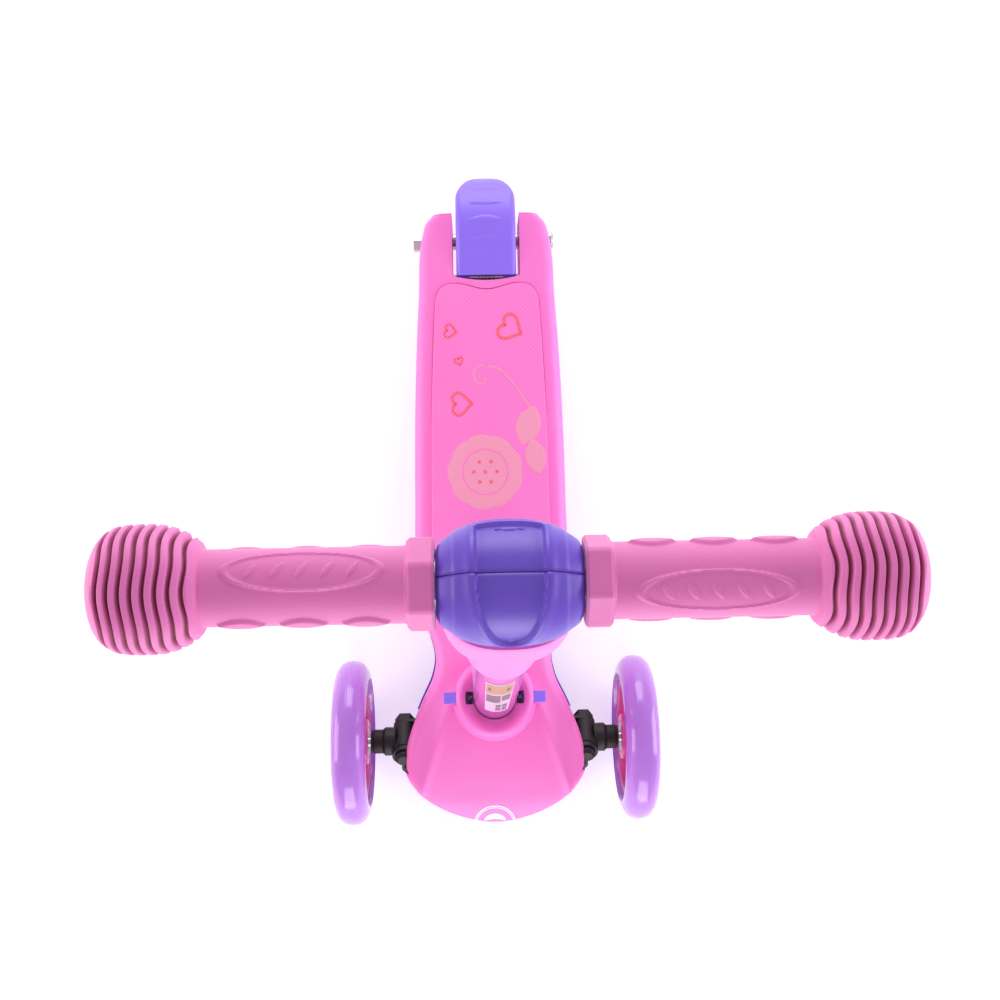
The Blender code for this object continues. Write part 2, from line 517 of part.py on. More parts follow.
# ---------------------------------------------------------------- stem
def build_stem(mats, foot):
    """Lower tube, height collar with its clamp screw, socket lock buttons and their springs."""
    place("lower_tube", pipe(0.0150, 0.0136, -0.0280, 0.3900, 24), mats["lilac_metal"], foot)
    collar = turned([(0.0153, 0.3050), (0.0176, 0.3050), (0.0180, 0.3070), (0.0183, 0.3600), (0.0190, 0.3930),
                     (0.0190, 0.3975), (0.0131, 0.3975), (0.0131, 0.3903), (0.0153, 0.3903)], 24)
    sleeve = place("height_collar", collar, mats["pink"], foot)
    cut(sleeve, block((-0.0070, 0.0150, 0.3600), (0.0070, 0.0255, 0.3880)), "UNION", foot)
    cut(sleeve, block((-0.0010, 0.0125, 0.3300), (0.0010, 0.0300, 0.4000)), parent=foot)
    cut(sleeve, rod(0.0155, 0.29, 0.3903, 24), parent=foot)
    cut(sleeve, rod(0.0021, -0.02, 0.02, 12), parent=foot, location=CLAMP_AT, rotation=(0, pi / 2, 0))
    screw = turned([(0.0, -0.0085), (0.0018, -0.0085), (0.0018, 0.0073), (0.0036, 0.0073), (0.0036, 0.0088),
                    (0.0, 0.0096)], 12)
    place("collar_clamp_screw", screw, mats["steel"], foot, CLAMP_AT, (0, pi / 2, 0))
    nut = turned([(0.0023, -0.0105), (0.0038, -0.0105), (0.0038, -0.0073), (0.0023, -0.0073)], 6)
    place("collar_clamp_nut", nut, mats["steel"], foot, CLAMP_AT, (0, pi / 2, 0))
    for side, word in ((-1, "left"), (1, "right")):
        low_x, high_x = sorted((side * 0.0225, side * 0.0362))
        button = block((low_x, -0.0041, 0.0018), (high_x, 0.0041, 0.0065))
        place("release_button_" + word, button, mats["purple"], foot)
        spring = moved(coil(0.0018, 0.00035, 0.0062, 4), Matrix.Rotation(side * pi / 2, 4, "Y"))
        place("release_spring_" + word, spring, mats["steel"], foot, (side * 0.0160, 0, BUTTON_LEVEL))
    head = turned([(0.0, 0.0), (0.0030, 0.0), (0.0030, 0.0012), (0.0019, 0.0024), (0.0, 0.0028)], 16)
    place("socket_screw", head, mats["brass"], foot, (0.0182, 0.0182, 0.0104))


def build_upper(mats, foot):
    """Sliding upper stem: inner tube, neck, hub shells, crossbar and grips."""
    bar = BAR_ALONG_STEM
    place("inner_tube", pipe(0.0127, 0.0113, 0.1800, 0.4490, 24), mats["lilac_metal"], foot)
    neck = place("neck_bell", loft([neck_ring(*row) for row in NECK_RINGS]), mats["pink"], foot)
    cut(neck, loft(hub_arcs(np.linspace(0.0, 2 * pi, 25)[:-1], clearance=GAP)), parent=foot)
    cut(neck, rod(0.0130, 0.39, 0.46, 24), parent=foot)
    for name, sign in (("hub_front_shell", -1), ("hub_rear_shell", 1)):
        hub_half(mats, foot, name, sign)
    for word, x in (("left", -HUB_SCREW_X), ("right", HUB_SCREW_X)):
        screw = turned([(0.0, 0.0), (0.0017, 0.0), (0.0017, HUB_SCREW_HEAD), (0.0034, HUB_SCREW_HEAD),
                        (0.0034, HUB_SCREW_HEAD + 0.0016), (0.0, HUB_SCREW_HEAD + 0.0022)], 12)
        place("hub_screw_" + word, screw, mats["steel"], foot, (x, 0, bar + HUB_SCREW_Z), (-pi / 2, 0, 0))
    cross = moved(pipe(0.0095, 0.0081, -0.1300, 0.1300, 24), Matrix.Rotation(pi / 2, 4, "Y"))
    place("crossbar_tube", cross, mats["steel"], foot, (0, 0, bar))
    for side, word in ((-1, "left"), (1, "right")):
        build_grip(mats, foot, side, word)


def neck_ring(level, half_x, half_y):
    """Cross-section of the neck: a superellipse, wider across than along."""
    ring = []
    for a in np.linspace(0.0, 2 * pi, 33)[:-1]:
        x = half_x * np.sign(cos(a)) * abs(cos(a)) ** (2 / NECK_POWER)
        ring.append((x, half_y * np.sign(sin(a)) * abs(sin(a)) ** (2 / NECK_POWER), level))
    return ring


def hub_arcs(angles, sign=1, offset=0.0, clearance=0.0):
    """Arcs round the crossbar that follow the hub's barrel shape, standing offset from the stem's plane."""
    arcs = []
    for share in (-1.0, -0.88, -0.70, -0.45, 0.0, 0.45, 0.70, 0.88, 1.0):
        x, radius = share * (HUB_HALF + clearance * 4), HUB_RADIUS + clearance - HUB_TAPER * abs(share) ** 2.6
        arcs.append([(x, sign * (offset + radius * sin(a)), BAR_ALONG_STEM - radius * cos(a)) for a in angles])
    return arcs


def hub_half(mats, foot, name, sign):
    """One half of the barrel-shaped hub, split on the plane of the stem and the crossbar."""
    bar = BAR_ALONG_STEM
    shell = place(name, loft(hub_arcs(np.linspace(0.0, pi, 13), sign, GAP / 2)), mats["purple"], foot)
    cut(shell, rod(0.0098, -0.03, 0.03, 24), parent=foot, location=(0, 0, bar), rotation=(0, pi / 2, 0))
    for x in (-HUB_SCREW_X, HUB_SCREW_X):
        at = (x, 0, bar + HUB_SCREW_Z)
        cut(shell, rod(0.0021, -0.001, 0.03, 12), parent=foot, location=at, rotation=(-pi / 2, 0, 0))
        cut(shell, rod(0.0038, HUB_SCREW_HEAD - GAP, 0.03, 12), parent=foot, location=at, rotation=(-pi / 2, 0, 0))


def build_grip(mats, foot, side, word):
    """Rubber grip: hexagonal collar, handle, and a ribbed ball end closed by a dome."""
    handle = [(0.0098, 0.0266), (0.0135, 0.0266), (0.0160, 0.0272), (0.0160, 0.0358), (0.0142, 0.0368),
              (0.0138, 0.0400), (0.0138, 0.1060), (0.0150, 0.1078), (0.0165, 0.1092)]
    ribs, start, pitch = 5, 0.1100, 0.0050
    ball = []
    for i in range(ribs):
        z = start + i * pitch
        t = (z - 0.1225) / 0.0277
        swell = 0.0232 * sqrt(max(1.0 - t * t * 0.85, 0.1))
        ball += [(swell - 0.0020, z), (swell, z + 0.0012), (swell, z + 0.0036)]
    dome = [(0.0222, 0.1358), (0.0214, 0.1400), (0.0192, 0.1440), (0.0144, BAR_HALF - 0.0020),
            (0.0072, BAR_HALF - 0.0004), (0.0, BAR_HALF)]
    bore = [(0.0, 0.1303), (0.0098, 0.1303)]
    grip = turned(handle + ball + dome + bore, 20)
    grip = moved(grip, Matrix.Rotation(side * pi / 2, 4, "Y"))
    place("grip_" + word, grip, mats["grip"], foot, (0, 0, BAR_ALONG_STEM))


def main():
    """Build every piece."""
    clear_scene()
    mats = {
        "pink": finish_material("pink_moulding", PINK, 0.35),
        "pad": finish_material("grip_pad", PINK, 0.6),
        "hot_pink": finish_material("wheel_core", HOT_PINK, 0.3),
        "grip": finish_material("grip_rubber", PINK, 0.55),
        "purple": finish_material("purple_moulding", PURPLE, 0.35),
        "lilac": finish_material("clear_lilac_tyre", LILAC, 0.15),
        "lilac_metal": finish_material("lilac_tube", LILAC, 0.25, 0.4),
        "black": finish_material("black_nylon", BLACK, 0.5),
        "steel": finish_material("zinc_steel", STEEL, 0.35, 1.0),
        "brass": finish_material("brass", BRASS, 0.3, 1.0),
    }
    foot = build_deck(mats)
    build_pad(mats)
    build_tray(mats)
    build_truck(mats)
    for side, word in ((-1, "left"), (1, "right")):
        build_front_wheel(mats, side, word)
    build_rear_wheel(mats)
    build_brake(mats)
    build_stem(mats, foot)
    build_upper(mats, foot)


main()
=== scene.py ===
"""Looks of a toddler kick scooter: every visible surface, its finish, the light and the camera.

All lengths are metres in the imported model's frame: +Z up and the nose towards -Y.
"""
from __future__ import annotations

import json
import logging
import math
from dataclasses import dataclass, field
from enum import Enum

import bmesh
import bpy
import mathutils
import numpy as np
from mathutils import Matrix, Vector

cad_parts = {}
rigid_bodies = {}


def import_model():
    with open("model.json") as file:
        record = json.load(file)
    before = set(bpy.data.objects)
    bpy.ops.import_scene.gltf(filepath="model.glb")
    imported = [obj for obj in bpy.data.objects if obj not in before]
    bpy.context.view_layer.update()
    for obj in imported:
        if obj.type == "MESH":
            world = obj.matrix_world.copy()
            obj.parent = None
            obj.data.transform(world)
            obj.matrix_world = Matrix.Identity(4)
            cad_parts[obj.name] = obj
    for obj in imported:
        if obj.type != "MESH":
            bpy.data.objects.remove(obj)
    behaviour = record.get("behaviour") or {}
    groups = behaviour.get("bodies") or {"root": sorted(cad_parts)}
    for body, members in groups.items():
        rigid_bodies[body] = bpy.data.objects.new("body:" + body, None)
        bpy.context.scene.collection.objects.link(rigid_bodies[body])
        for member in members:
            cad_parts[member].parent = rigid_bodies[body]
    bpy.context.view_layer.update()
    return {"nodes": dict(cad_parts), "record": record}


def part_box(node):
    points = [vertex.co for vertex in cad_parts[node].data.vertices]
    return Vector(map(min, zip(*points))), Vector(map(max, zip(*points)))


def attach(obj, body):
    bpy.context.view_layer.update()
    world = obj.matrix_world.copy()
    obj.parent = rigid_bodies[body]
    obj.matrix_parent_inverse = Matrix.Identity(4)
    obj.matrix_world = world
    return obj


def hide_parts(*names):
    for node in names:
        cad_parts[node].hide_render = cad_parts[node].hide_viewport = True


LOG = logging.getLogger("kick_scooter")
TAU = 2.0 * math.pi
GAP = 0.0003                        # air between touching pieces
BRAKE_PIVOT = (0.343, 0.069)        # the fender's pin: distance behind the front axle, and height
BAR_LEVEL = 0.4727                  # handlebar axis above the stem foot, along the stem
BEARING_SEAT = 0.0112               # radius of the wheel cores' bore
PAD_LEVEL = 0.08095                 # height of the printed surface on the pad
INK = 0.00012                       # thickness of a printed layer
UP = np.array([0.0, 0.0, 1.0])
ACROSS = np.array([1.0, 0.0, 0.0])


# ------------------------------------------------------------------ numbers and curves
def linear(code: str) -> tuple[float, float, float]:
    """Turn an sRGB colour code such as "#ff80d0" into linear light.

    Args:
        code: Six hexadecimal digits after a hash.

    Returns:
        Red, green and blue in linear light.
    """
    values = np.array([int(code[i:i + 2], 16) for i in (1, 3, 5)]) / 255.0
    light = np.where(values <= 0.04045, values / 12.92, ((values + 0.055) / 1.055) ** 2.4)
    return tuple(float(v) for v in light)


def smooth_step(x: np.ndarray, low: float, high: float) -> np.ndarray:
    """Rise from 0 at low to 1 at high with a cubic ease.

    Args:
        x: Where to read the step.
        low: Where the step begins.
        high: Where the step ends.

    Returns:
        Values between 0 and 1.
    """
    t = np.clip((x - low) / (high - low), 0.0, 1.0)
    return t * t * (3.0 - 2.0 * t)


def bump(x: np.ndarray, width: float) -> np.ndarray:
    """A bell of height 1 and the given width: the Gauss curve exp(-(x / width)^2)."""
    return np.exp(-(x / width) ** 2)


def hermite(table: list[tuple[float, float]], x: np.ndarray) -> np.ndarray:
    """Cubic curve through (position, value) pairs, with slopes from neighbouring pairs.

    Args:
        table: The pairs, in order of position.
        x: Where to read the curve.

    Returns:
        The curve's values.
    """
    xs, ys = np.array(table, dtype=float).T
    slopes = np.gradient(ys, xs)
    i = np.clip(np.searchsorted(xs, x) - 1, 0, len(xs) - 2)
    h = xs[i + 1] - xs[i]
    t = np.clip((x - xs[i]) / h, 0.0, 1.0)
    return ((2 * t**3 - 3 * t**2 + 1) * ys[i] + (t**3 - 2 * t**2 + t) * h * slopes[i]
            + (3 * t**2 - 2 * t**3) * ys[i + 1] + (t**3 - t**2) * h * slopes[i + 1])


def lens_mark(u: np.ndarray, v: np.ndarray, length: float, width: float) -> np.ndarray:
    """Height of a lens-shaped mark: 1 inside two arcs that meet in points, easing to 0 at its rim.

    Args:
        u: Distance along the mark from its middle.
        v: Distance across the mark from its middle.
        length: Tip to tip length.
        width: Width at the middle.

    Returns:
        Values between 0 and 1.
    """
    reach = np.clip(1.0 - (2.0 * u / length) ** 2, 0.0, 1.0) * width / 2.0
    return smooth_step(reach - np.abs(v), 0.0, width * 0.22)


def coords(*parts: np.ndarray | float) -> np.ndarray:
    """Points from their coordinates, which are spread to a common shape."""
    return np.stack(np.broadcast_arrays(*parts), axis=-1)


def superellipse(turn: np.ndarray, power: float) -> tuple[np.ndarray, np.ndarray]:
    """Cosine and sine of an angle, each raised to a power with its sign kept."""
    c, s = np.cos(turn), np.sin(turn)
    return np.sign(c) * np.abs(c) ** power, np.sign(s) * np.abs(s) ** power


def circle(turn: np.ndarray, radius: float | np.ndarray) -> np.ndarray:
    """Points (x, y) on a circle at the given angles."""
    return coords(radius * np.cos(turn), radius * np.sin(turn))


def leaned(points: np.ndarray, angle: float) -> np.ndarray:
    """Turn (x, y) points clockwise by an angle."""
    c, s = math.cos(angle), math.sin(angle)
    return points @ np.array([[c, s], [-s, c]])


def lifted(flat: np.ndarray, levels: tuple[float, ...]) -> np.ndarray:
    """Copies of an outline of (x, y) points, one row for each height."""
    return np.stack([np.concatenate([flat, np.full((len(flat), 1), z)], axis=1) for z in levels])


# ------------------------------------------------------------------ meshes
def grid_faces(rows: int, columns: int, wrap: bool) -> np.ndarray:
    """Quads of a grid of points, row by row, with the columns joined round when wrap is set."""
    row, column = np.meshgrid(np.arange(rows - 1), np.arange(columns if wrap else columns - 1), indexing="ij")
    near, after = row * columns + column, row * columns + (column + 1) % columns
    return coords(near, after, after + columns, near + columns).reshape(-1, 4)


@dataclass
class Surface:
    """A mesh being gathered from grids and caps, in the model's frame."""

    points: list[np.ndarray] = field(default_factory=list)
    quads: list[np.ndarray] = field(default_factory=list)
    fans: list[np.ndarray] = field(default_factory=list)
    count: int = 0

    def add_points(self, points: np.ndarray) -> int:
        """Add points and return the index of the first."""
        start = self.count
        self.points.append(points.reshape(-1, 3))
        self.count += len(self.points[-1])
        return start

    def grid(self, points: np.ndarray, wrap: bool = False, caps: bool = False) -> "Surface":
        """Add a grid of points with shape (rows, columns, 3).

        Args:
            points: The grid.
            wrap: Join the last column to the first.
            caps: Close the first and last row with a fan round their middle.

        Returns:
            This surface.
        """
        rows, columns = points.shape[:2]
        start = self.add_points(points)
        self.quads.append(grid_faces(rows, columns, wrap) + start)
        if caps:
            around = np.arange(columns)
            for row, turn in ((0, True), (rows - 1, False)):
                middle = self.add_points(points[row].mean(axis=0))
                edge = start + row * columns
                fan = coords(edge + around, edge + (around + 1) % columns, middle)
                self.fans.append(fan[:, ::-1] if turn else fan)
        return self

    def build(self, name: str, sharp: float = 40.0) -> bpy.types.Object:
        """Make the Blender object.

        Args:
            name: The object's name.
            sharp: Edges sharper than this many degrees stay crisp.

        Returns:
            The object, at the origin.
        """
        mesh = bpy.data.meshes.new(name)
        faces = [quad for block in self.quads + self.fans for quad in block.tolist()]
        mesh.from_pydata(np.concatenate(self.points), [], faces)
        mesh.validate()
        tool = bmesh.new()
        tool.from_mesh(mesh)
        bmesh.ops.remove_doubles(tool, verts=tool.verts, dist=1e-6)
        bmesh.ops.recalc_face_normals(tool, faces=tool.faces)
        tool.to_mesh(mesh)
        tool.free()
        piece = bpy.data.objects.new(name, mesh)
        bpy.context.scene.collection.objects.link(piece)
        return shade(piece, sharp)


def shade(piece: bpy.types.Object, sharp: float) -> bpy.types.Object:
    """Shade a piece smooth, with edges sharper than this many degrees kept crisp."""
    piece.data.shade_smooth()
    piece.data.set_sharp_from_angle(angle=math.radians(sharp))
    return piece


def solid(points: np.ndarray) -> Surface:
    """A closed shape from rows that go round, with both ends capped."""
    return Surface().grid(points, wrap=True, caps=True)


def combine(body: bpy.types.Object, tool: Surface, operation: str = "DIFFERENCE") -> None:
    """Join a shape to a piece, or cut it away, and keep the result as the piece's mesh."""
    cutter = tool.build("cutting_tool")
    step = body.modifiers.new("cut", "BOOLEAN")
    step.operation = operation
    step.object = cutter
    step.solver = "EXACT"
    shaped = bpy.data.meshes.new_from_object(body.evaluated_get(bpy.context.evaluated_depsgraph_get()))
    body.modifiers.clear()
    body.data = shaped
    bpy.data.objects.remove(cutter)


@dataclass(frozen=True)
class Axes:
    """A local frame: an origin and three unit directions."""

    origin: np.ndarray
    x: np.ndarray
    y: np.ndarray
    z: np.ndarray

    def world(self, points: np.ndarray) -> np.ndarray:
        """Carry local points, last axis (x, y, z), into the model's frame."""
        return self.origin + points[..., :1] * self.x + points[..., 1:2] * self.y + points[..., 2:3] * self.z

    def at(self, x: float, y: float, z: float) -> "Axes":
        """The same directions from another origin, given in local coordinates."""
        return Axes(self.world(np.array([x, y, z])), self.x, self.y, self.z)

    @classmethod
    def axle(cls, centre: np.ndarray, side: float = 1.0) -> "Axes":
        """A wheel's frame: Z points outwards along the axle and X points up."""
        out = ACROSS * side
        return cls(centre, UP, np.cross(out, UP), out)

    @classmethod
    def along_x(cls, y: float, z: float) -> "Axes":
        """A frame on the middle plane whose Z runs along X."""
        return cls(np.array([0.0, y, z]), np.array([0.0, 1.0, 0.0]), UP, ACROSS)


def turned(axes: Axes, profile: np.ndarray, columns: int = 96) -> np.ndarray:
    """A profile of (radius, height) pairs turned round the local Z axis.

    Args:
        axes: The local frame.
        profile: Pairs in order, from one end to the other.
        columns: Points round the turn.

    Returns:
        A grid of points, one row for each pair.
    """
    angle = np.arange(columns) / columns * TAU
    radius, height = profile[:, :1], profile[:, 1:]
    local = coords(radius * np.cos(angle), radius * np.sin(angle), height)
    return axes.world(local)


def rod(axes: Axes, radius: float, low: float, high: float, columns: int = 96) -> Surface:
    """A plain cylinder along the local Z axis."""
    return solid(turned(axes, np.array([[radius, low], [radius, high]]), columns))


def rounded_profile(corners: list[tuple[float, float]], radius: float, steps: int = 5,
                    closed: bool = True) -> np.ndarray:
    """Round the corners of a (radius, height) outline with quadratic arcs.

    Args:
        corners: The outline's corners in order.
        radius: How far from a corner its arc begins; short sides take less.
        steps: Points on each arc.
        closed: Whether the outline comes back to its first corner, which is then repeated at the end.

    Returns:
        The rounded outline.
    """
    pts = np.array(corners, dtype=float)
    before, after = np.roll(pts, 1, axis=0), np.roll(pts, -1, axis=0)
    into, out = before - pts, after - pts
    li, lo = np.linalg.norm(into, axis=1, keepdims=True), np.linalg.norm(out, axis=1, keepdims=True)
    cut_in = pts + into / np.maximum(li, 1e-9) * np.minimum(radius, 0.45 * li)
    cut_out = pts + out / np.maximum(lo, 1e-9) * np.minimum(radius, 0.45 * lo)
    t = np.linspace(0.0, 1.0, steps)[None, :, None]
    arcs = (1 - t) ** 2 * cut_in[:, None] + 2 * t * (1 - t) * pts[:, None] + t**2 * cut_out[:, None]
    if closed:
        outline = arcs.reshape(-1, 2)
        return np.vstack([outline, outline[:1]])
    return np.vstack([pts[:1], arcs[1:-1].reshape(-1, 2), pts[-1:]])


def dress(piece: bpy.types.Object, finish: "Finish", body: str, *nodes: str) -> bpy.types.Object:
    """Give a piece its finish, the body it rides on and the CAD nodes it stands for.

    Args:
        piece: The new object.
        finish: Its finish.
        body: The CAD body it moves with.
        nodes: CAD nodes that it replaces.

    Returns:
        The piece.
    """
    piece.data.materials.clear()
    piece.data.materials.append(finish.material())
    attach(piece, body)
    if nodes:
        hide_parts(*nodes)
    LOG.info("%s: %d faces on %s", piece.name, len(piece.data.polygons), body)
    return piece


# ------------------------------------------------------------------ finishes
class Grain(Enum):
    """The fine surface of a finish."""

    SATIN = "satin moulding"
    DOTS = "staggered dots"
    RUBBER = "soft rubber"
    CAST = "coarse nylon"
    BRUSHED = "brushed metal"
    CLEAR = "clear"


@dataclass(frozen=True)
class Finish:
    """A procedural material that reads Object coordinates."""

    name: str
    slot: str
    colour: str
    tint: str
    roughness: float = 0.4
    grain: Grain = Grain.SATIN
    metallic: float = 0.0
    coat: float = 0.0
    depth: float = 0.08
    transmission: float = 0.0
    subsurface: float = 0.0
    sheen: float = 0.0
    # colour of painted shade, blended in by a per-point share stored on the mesh
    painted_groove_shade: str = ""

    def material(self) -> bpy.types.Material:
        """The Blender material, made once and then shared."""
        known = bpy.data.materials.get(self.name)
        return known if known else self.make()

    def make(self) -> bpy.types.Material:
        """Build the node tree: soft colour drift, painted highlight on dots, painted groove shade, roughness
        breakup and the grain's bump.
        """
        mat = bpy.data.materials.new(self.name)
        mat.use_nodes = True
        tree = mat.node_tree
        shader = tree.nodes["Principled BSDF"]
        shader.inputs["Metallic"].default_value = self.metallic
        shader.inputs["Coat Weight"].default_value = self.coat
        shader.inputs["Coat Roughness"].default_value = 0.12
        shader.inputs["Transmission Weight"].default_value = self.transmission
        shader.inputs["Subsurface Weight"].default_value = self.subsurface
        shader.inputs["Subsurface Radius"].default_value = (1.0, 0.5, 0.8)
        shader.inputs["Subsurface Scale"].default_value = 0.004
        shader.inputs["Sheen Weight"].default_value = self.sheen
        shader.inputs["IOR"].default_value = 1.47
        place = tree.nodes.new("ShaderNodeTexCoord").outputs["Object"]
        drift = self.noise(tree, place, 22.0, 3.0)
        mix = tree.nodes.new("ShaderNodeMix")
        mix.data_type = "RGBA"
        mix.inputs[6].default_value = (*linear(self.colour), 1.0)
        mix.inputs[7].default_value = (*linear(self.tint), 1.0)
        tree.links.new(drift, mix.inputs[0])
        colour = mix.outputs[2]
        if self.grain is Grain.DOTS:
            # painted highlight: the tops of the pad's dots are blended towards a lighter pink
            dots = self.ramp(tree, self.relief(tree, place), -1.6, 1.2)
            colour = self.blend(tree, dots, colour, "#ffa6e4")
        # painted shade: blend towards a dark colour by the share stored on each point
        if self.painted_groove_shade:
            node = tree.nodes.new("ShaderNodeAttribute")
            node.attribute_name = "painted_groove_shade"
            colour = self.blend(tree, node.outputs["Fac"], colour, self.painted_groove_shade)
        tree.links.new(colour, shader.inputs["Base Color"])
        rough = self.ramp(tree, self.noise(tree, place, 160.0, 4.0), self.roughness * 0.88,
                          min(self.roughness * 1.12, 1.0))
        tree.links.new(rough, shader.inputs["Roughness"])
        height = self.relief(tree, place)
        node = tree.nodes.new("ShaderNodeBump")
        node.inputs["Strength"].default_value = self.depth
        node.inputs["Distance"].default_value = 0.0004
        tree.links.new(height, node.inputs["Height"])
        tree.links.new(node.outputs["Normal"], shader.inputs["Normal"])
        return mat

    def relief(self, tree: bpy.types.NodeTree, place: bpy.types.NodeSocket) -> bpy.types.NodeSocket:
        """The height of the grain.

        Args:
            tree: The node tree.
            place: Object coordinates.

        Returns:
            A socket with the height.
        """
        if self.grain is Grain.DOTS:
            cells = tree.nodes.new("ShaderNodeTexVoronoi")
            cells.inputs["Scale"].default_value = 430.0
            cells.inputs["Randomness"].default_value = 0.0
            turn = tree.nodes.new("ShaderNodeMapping")
            turn.inputs["Rotation"].default_value = (0.0, 0.0, math.radians(45.0))
            turn.inputs["Scale"].default_value = (1.0, 1.0, 0.02)
            tree.links.new(place, turn.inputs["Vector"])
            tree.links.new(turn.outputs["Vector"], cells.inputs["Vector"])
            return self.ramp(tree, cells.outputs["Distance"], 1.0, 0.0)
        scale = {Grain.SATIN: 1500.0, Grain.RUBBER: 1100.0, Grain.CAST: 700.0, Grain.BRUSHED: 900.0,
                 Grain.CLEAR: 60.0}[self.grain]
        return self.noise(tree, place, scale, 3.0)

    @staticmethod
    def blend(tree: bpy.types.NodeTree, share: bpy.types.NodeSocket, colour: bpy.types.NodeSocket,
              code: str) -> bpy.types.NodeSocket:
        """Blend a colour towards an sRGB code by a share."""
        node = tree.nodes.new("ShaderNodeMix")
        node.data_type = "RGBA"
        node.clamp_factor = True
        node.inputs[7].default_value = (*linear(code), 1.0)
        tree.links.new(share, node.inputs[0])
        tree.links.new(colour, node.inputs[6])
        return node.outputs[2]

    @staticmethod
    def noise(tree: bpy.types.NodeTree, place: bpy.types.NodeSocket, scale: float,
              detail: float) -> bpy.types.NodeSocket:
        """Fractal noise at a scale in cycles per metre."""
        node = tree.nodes.new("ShaderNodeTexNoise")
        node.inputs["Scale"].default_value = scale
        node.inputs["Detail"].default_value = detail
        tree.links.new(place, node.inputs["Vector"])
        return node.outputs["Fac"]

    @staticmethod
    def ramp(tree: bpy.types.NodeTree, value: bpy.types.NodeSocket, low: float,
             high: float) -> bpy.types.NodeSocket:
        """Map a value from 0..1 to low..high."""
        node = tree.nodes.new("ShaderNodeMapRange")
        node.inputs["To Min"].default_value = low
        node.inputs["To Max"].default_value = high
        tree.links.new(value, node.inputs["Value"])
        return node.outputs["Result"]


PINK = Finish("pink_moulding", "pink_plastic", "#fb76cb", "#f57fd0", 0.42, depth=0.10, subsurface=0.12)
PAD = Finish("dotted_pad", "grip_pad", "#f573c6", "#f87bcc", 0.55, Grain.DOTS, depth=0.85)
PAD_PRINT = Finish("peach_print", "grip_pad", "#ec8fb0", "#f09cb8", 0.55, Grain.DOTS, depth=0.85)
HEART_PRINT = Finish("coral_print", "grip_pad", "#f4606a", "#f0607c", 0.5, Grain.DOTS, depth=0.85)
PURPLE = Finish("purple_moulding", "purple_plastic", "#6646c0", "#6c4cc6", 0.36, depth=0.10, subsurface=0.05)
# a lighter copy of the same purple plastic, painted light for the brighter light on the fender and the button
# ends
PURPLE_PAINTED_LIGHTER = Finish("purple_painted_lighter", "purple_plastic", "#8a6cee", "#8e6cea", 0.40, depth=0.10, subsurface=0.05)
# the grip's dark red is painted shade in the bottoms of the ball's grooves
GRIP = Finish("grip_rubber_pink", "grip_rubber", "#e26fb6", "#e076ba", 0.58, Grain.RUBBER, depth=0.25,
              sheen=0.25, subsurface=0.10, painted_groove_shade="#9c1258")
TYRE = Finish("clear_lilac", "clear_tyre", "#d08cf4", "#c985ee", 0.16, Grain.CLEAR, coat=0.4, depth=0.02,
              transmission=0.35, subsurface=0.25)
CORE = Finish("core_pink", "wheel_core", "#e0409c", "#d83c98", 0.30, depth=0.06, coat=0.3)
TUBE = Finish("lilac_coat", "lilac_tube", "#d46cca", "#cc68cc", 0.26, metallic=0.45, coat=0.6, depth=0.02)
BLACK = Finish("black_moulding", "black_nylon", "#0e090f", "#140d16", 0.55, Grain.CAST, depth=0.18)
# purple plastic painted dark with shade, for the release bar in the shadowed gaps beside the tube
PURPLE_PAINTED_SHADE = Finish("purple_painted_shade", "purple_plastic", "#34104c", "#3a1454", 0.45, depth=0.05)
STEEL = Finish("bright_zinc", "zinc_steel", "#c4c4c8", "#b4b4ba", 0.30, Grain.BRUSHED, metallic=1.0,
               depth=0.05)
BRASS = Finish("polished_brass", "brass", "#d8b06a", "#cda45c", 0.24, Grain.BRUSHED, metallic=1.0, depth=0.03)
WHITE_INK = Finish("white_ink", "pink_plastic", "#ffffff", "#fbf4fa", 0.4, depth=0.04)
SILVER_INK = Finish("silver_ink", "lilac_tube", "#c8b0cc", "#d6c2da", 0.35, depth=0.03)
GOLD_FOIL = Finish("gold_foil", "brass", "#b9a24e", "#cbb665", 0.30, Grain.BRUSHED, metallic=0.7, depth=0.04)
GREY_INK = Finish("grey_ink", "lilac_tube", "#5b5560", "#6a6470", 0.4, depth=0.03)


# ------------------------------------------------------------------ frame facts
@dataclass(frozen=True)
class Layout:
    """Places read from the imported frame."""

    axle_y: float
    wheel_radius: float
    track_half: float
    rear_axle: tuple[float, float]
    stem: Axes
    steer: dict[str, np.ndarray]
    kingpin: np.ndarray

    @classmethod
    def read(cls, record: dict) -> "Layout":
        """Read the joints and boxes.

        Args:
            record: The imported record.

        Returns:
            The layout.
        """
        joints = {joint["name"]: joint for joint in record["behaviour"]["joints"]}
        low, high = (np.array(corner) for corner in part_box("left_tyre"))
        rear_low, rear_high = (np.array(corner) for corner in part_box("rear_tyre"))
        bar_low, bar_high = (np.array(corner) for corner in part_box("crossbar_tube"))
        along = np.array(joints["height_slide"]["axis"], dtype=float)
        along /= np.linalg.norm(along)
        foot = (bar_low + bar_high) / 2.0 - BAR_LEVEL * along
        stem = Axes(foot, ACROSS, np.cross(along, ACROSS), along)
        steer = {side: np.array(joints[side + "_steer"]["pos_m"], dtype=float) for side in ("left", "right")}
        rear = (rear_low + rear_high) / 2.0
        middle = (low + high) / 2.0
        return cls(float(middle[1]), float((high - low)[2] / 2.0), float(abs(middle[0])),
                   (float(rear[1]), float(rear[2])), stem, steer,
                   np.array(joints["left_steer"]["axis"], dtype=float))

    def brake_pivot(self) -> Axes:
        """The fender's pin: Z along X."""
        return Axes.along_x(self.axle_y + BRAKE_PIVOT[0], BRAKE_PIVOT[1])

    def wheel(self, side: float) -> np.ndarray:
        """The middle of a front wheel."""
        return np.array([side * self.track_half, self.axle_y, self.wheel_radius])

    def bar(self) -> np.ndarray:
        """The middle of the handlebar."""
        return self.stem.world(np.array([0.0, 0.0, BAR_LEVEL]))


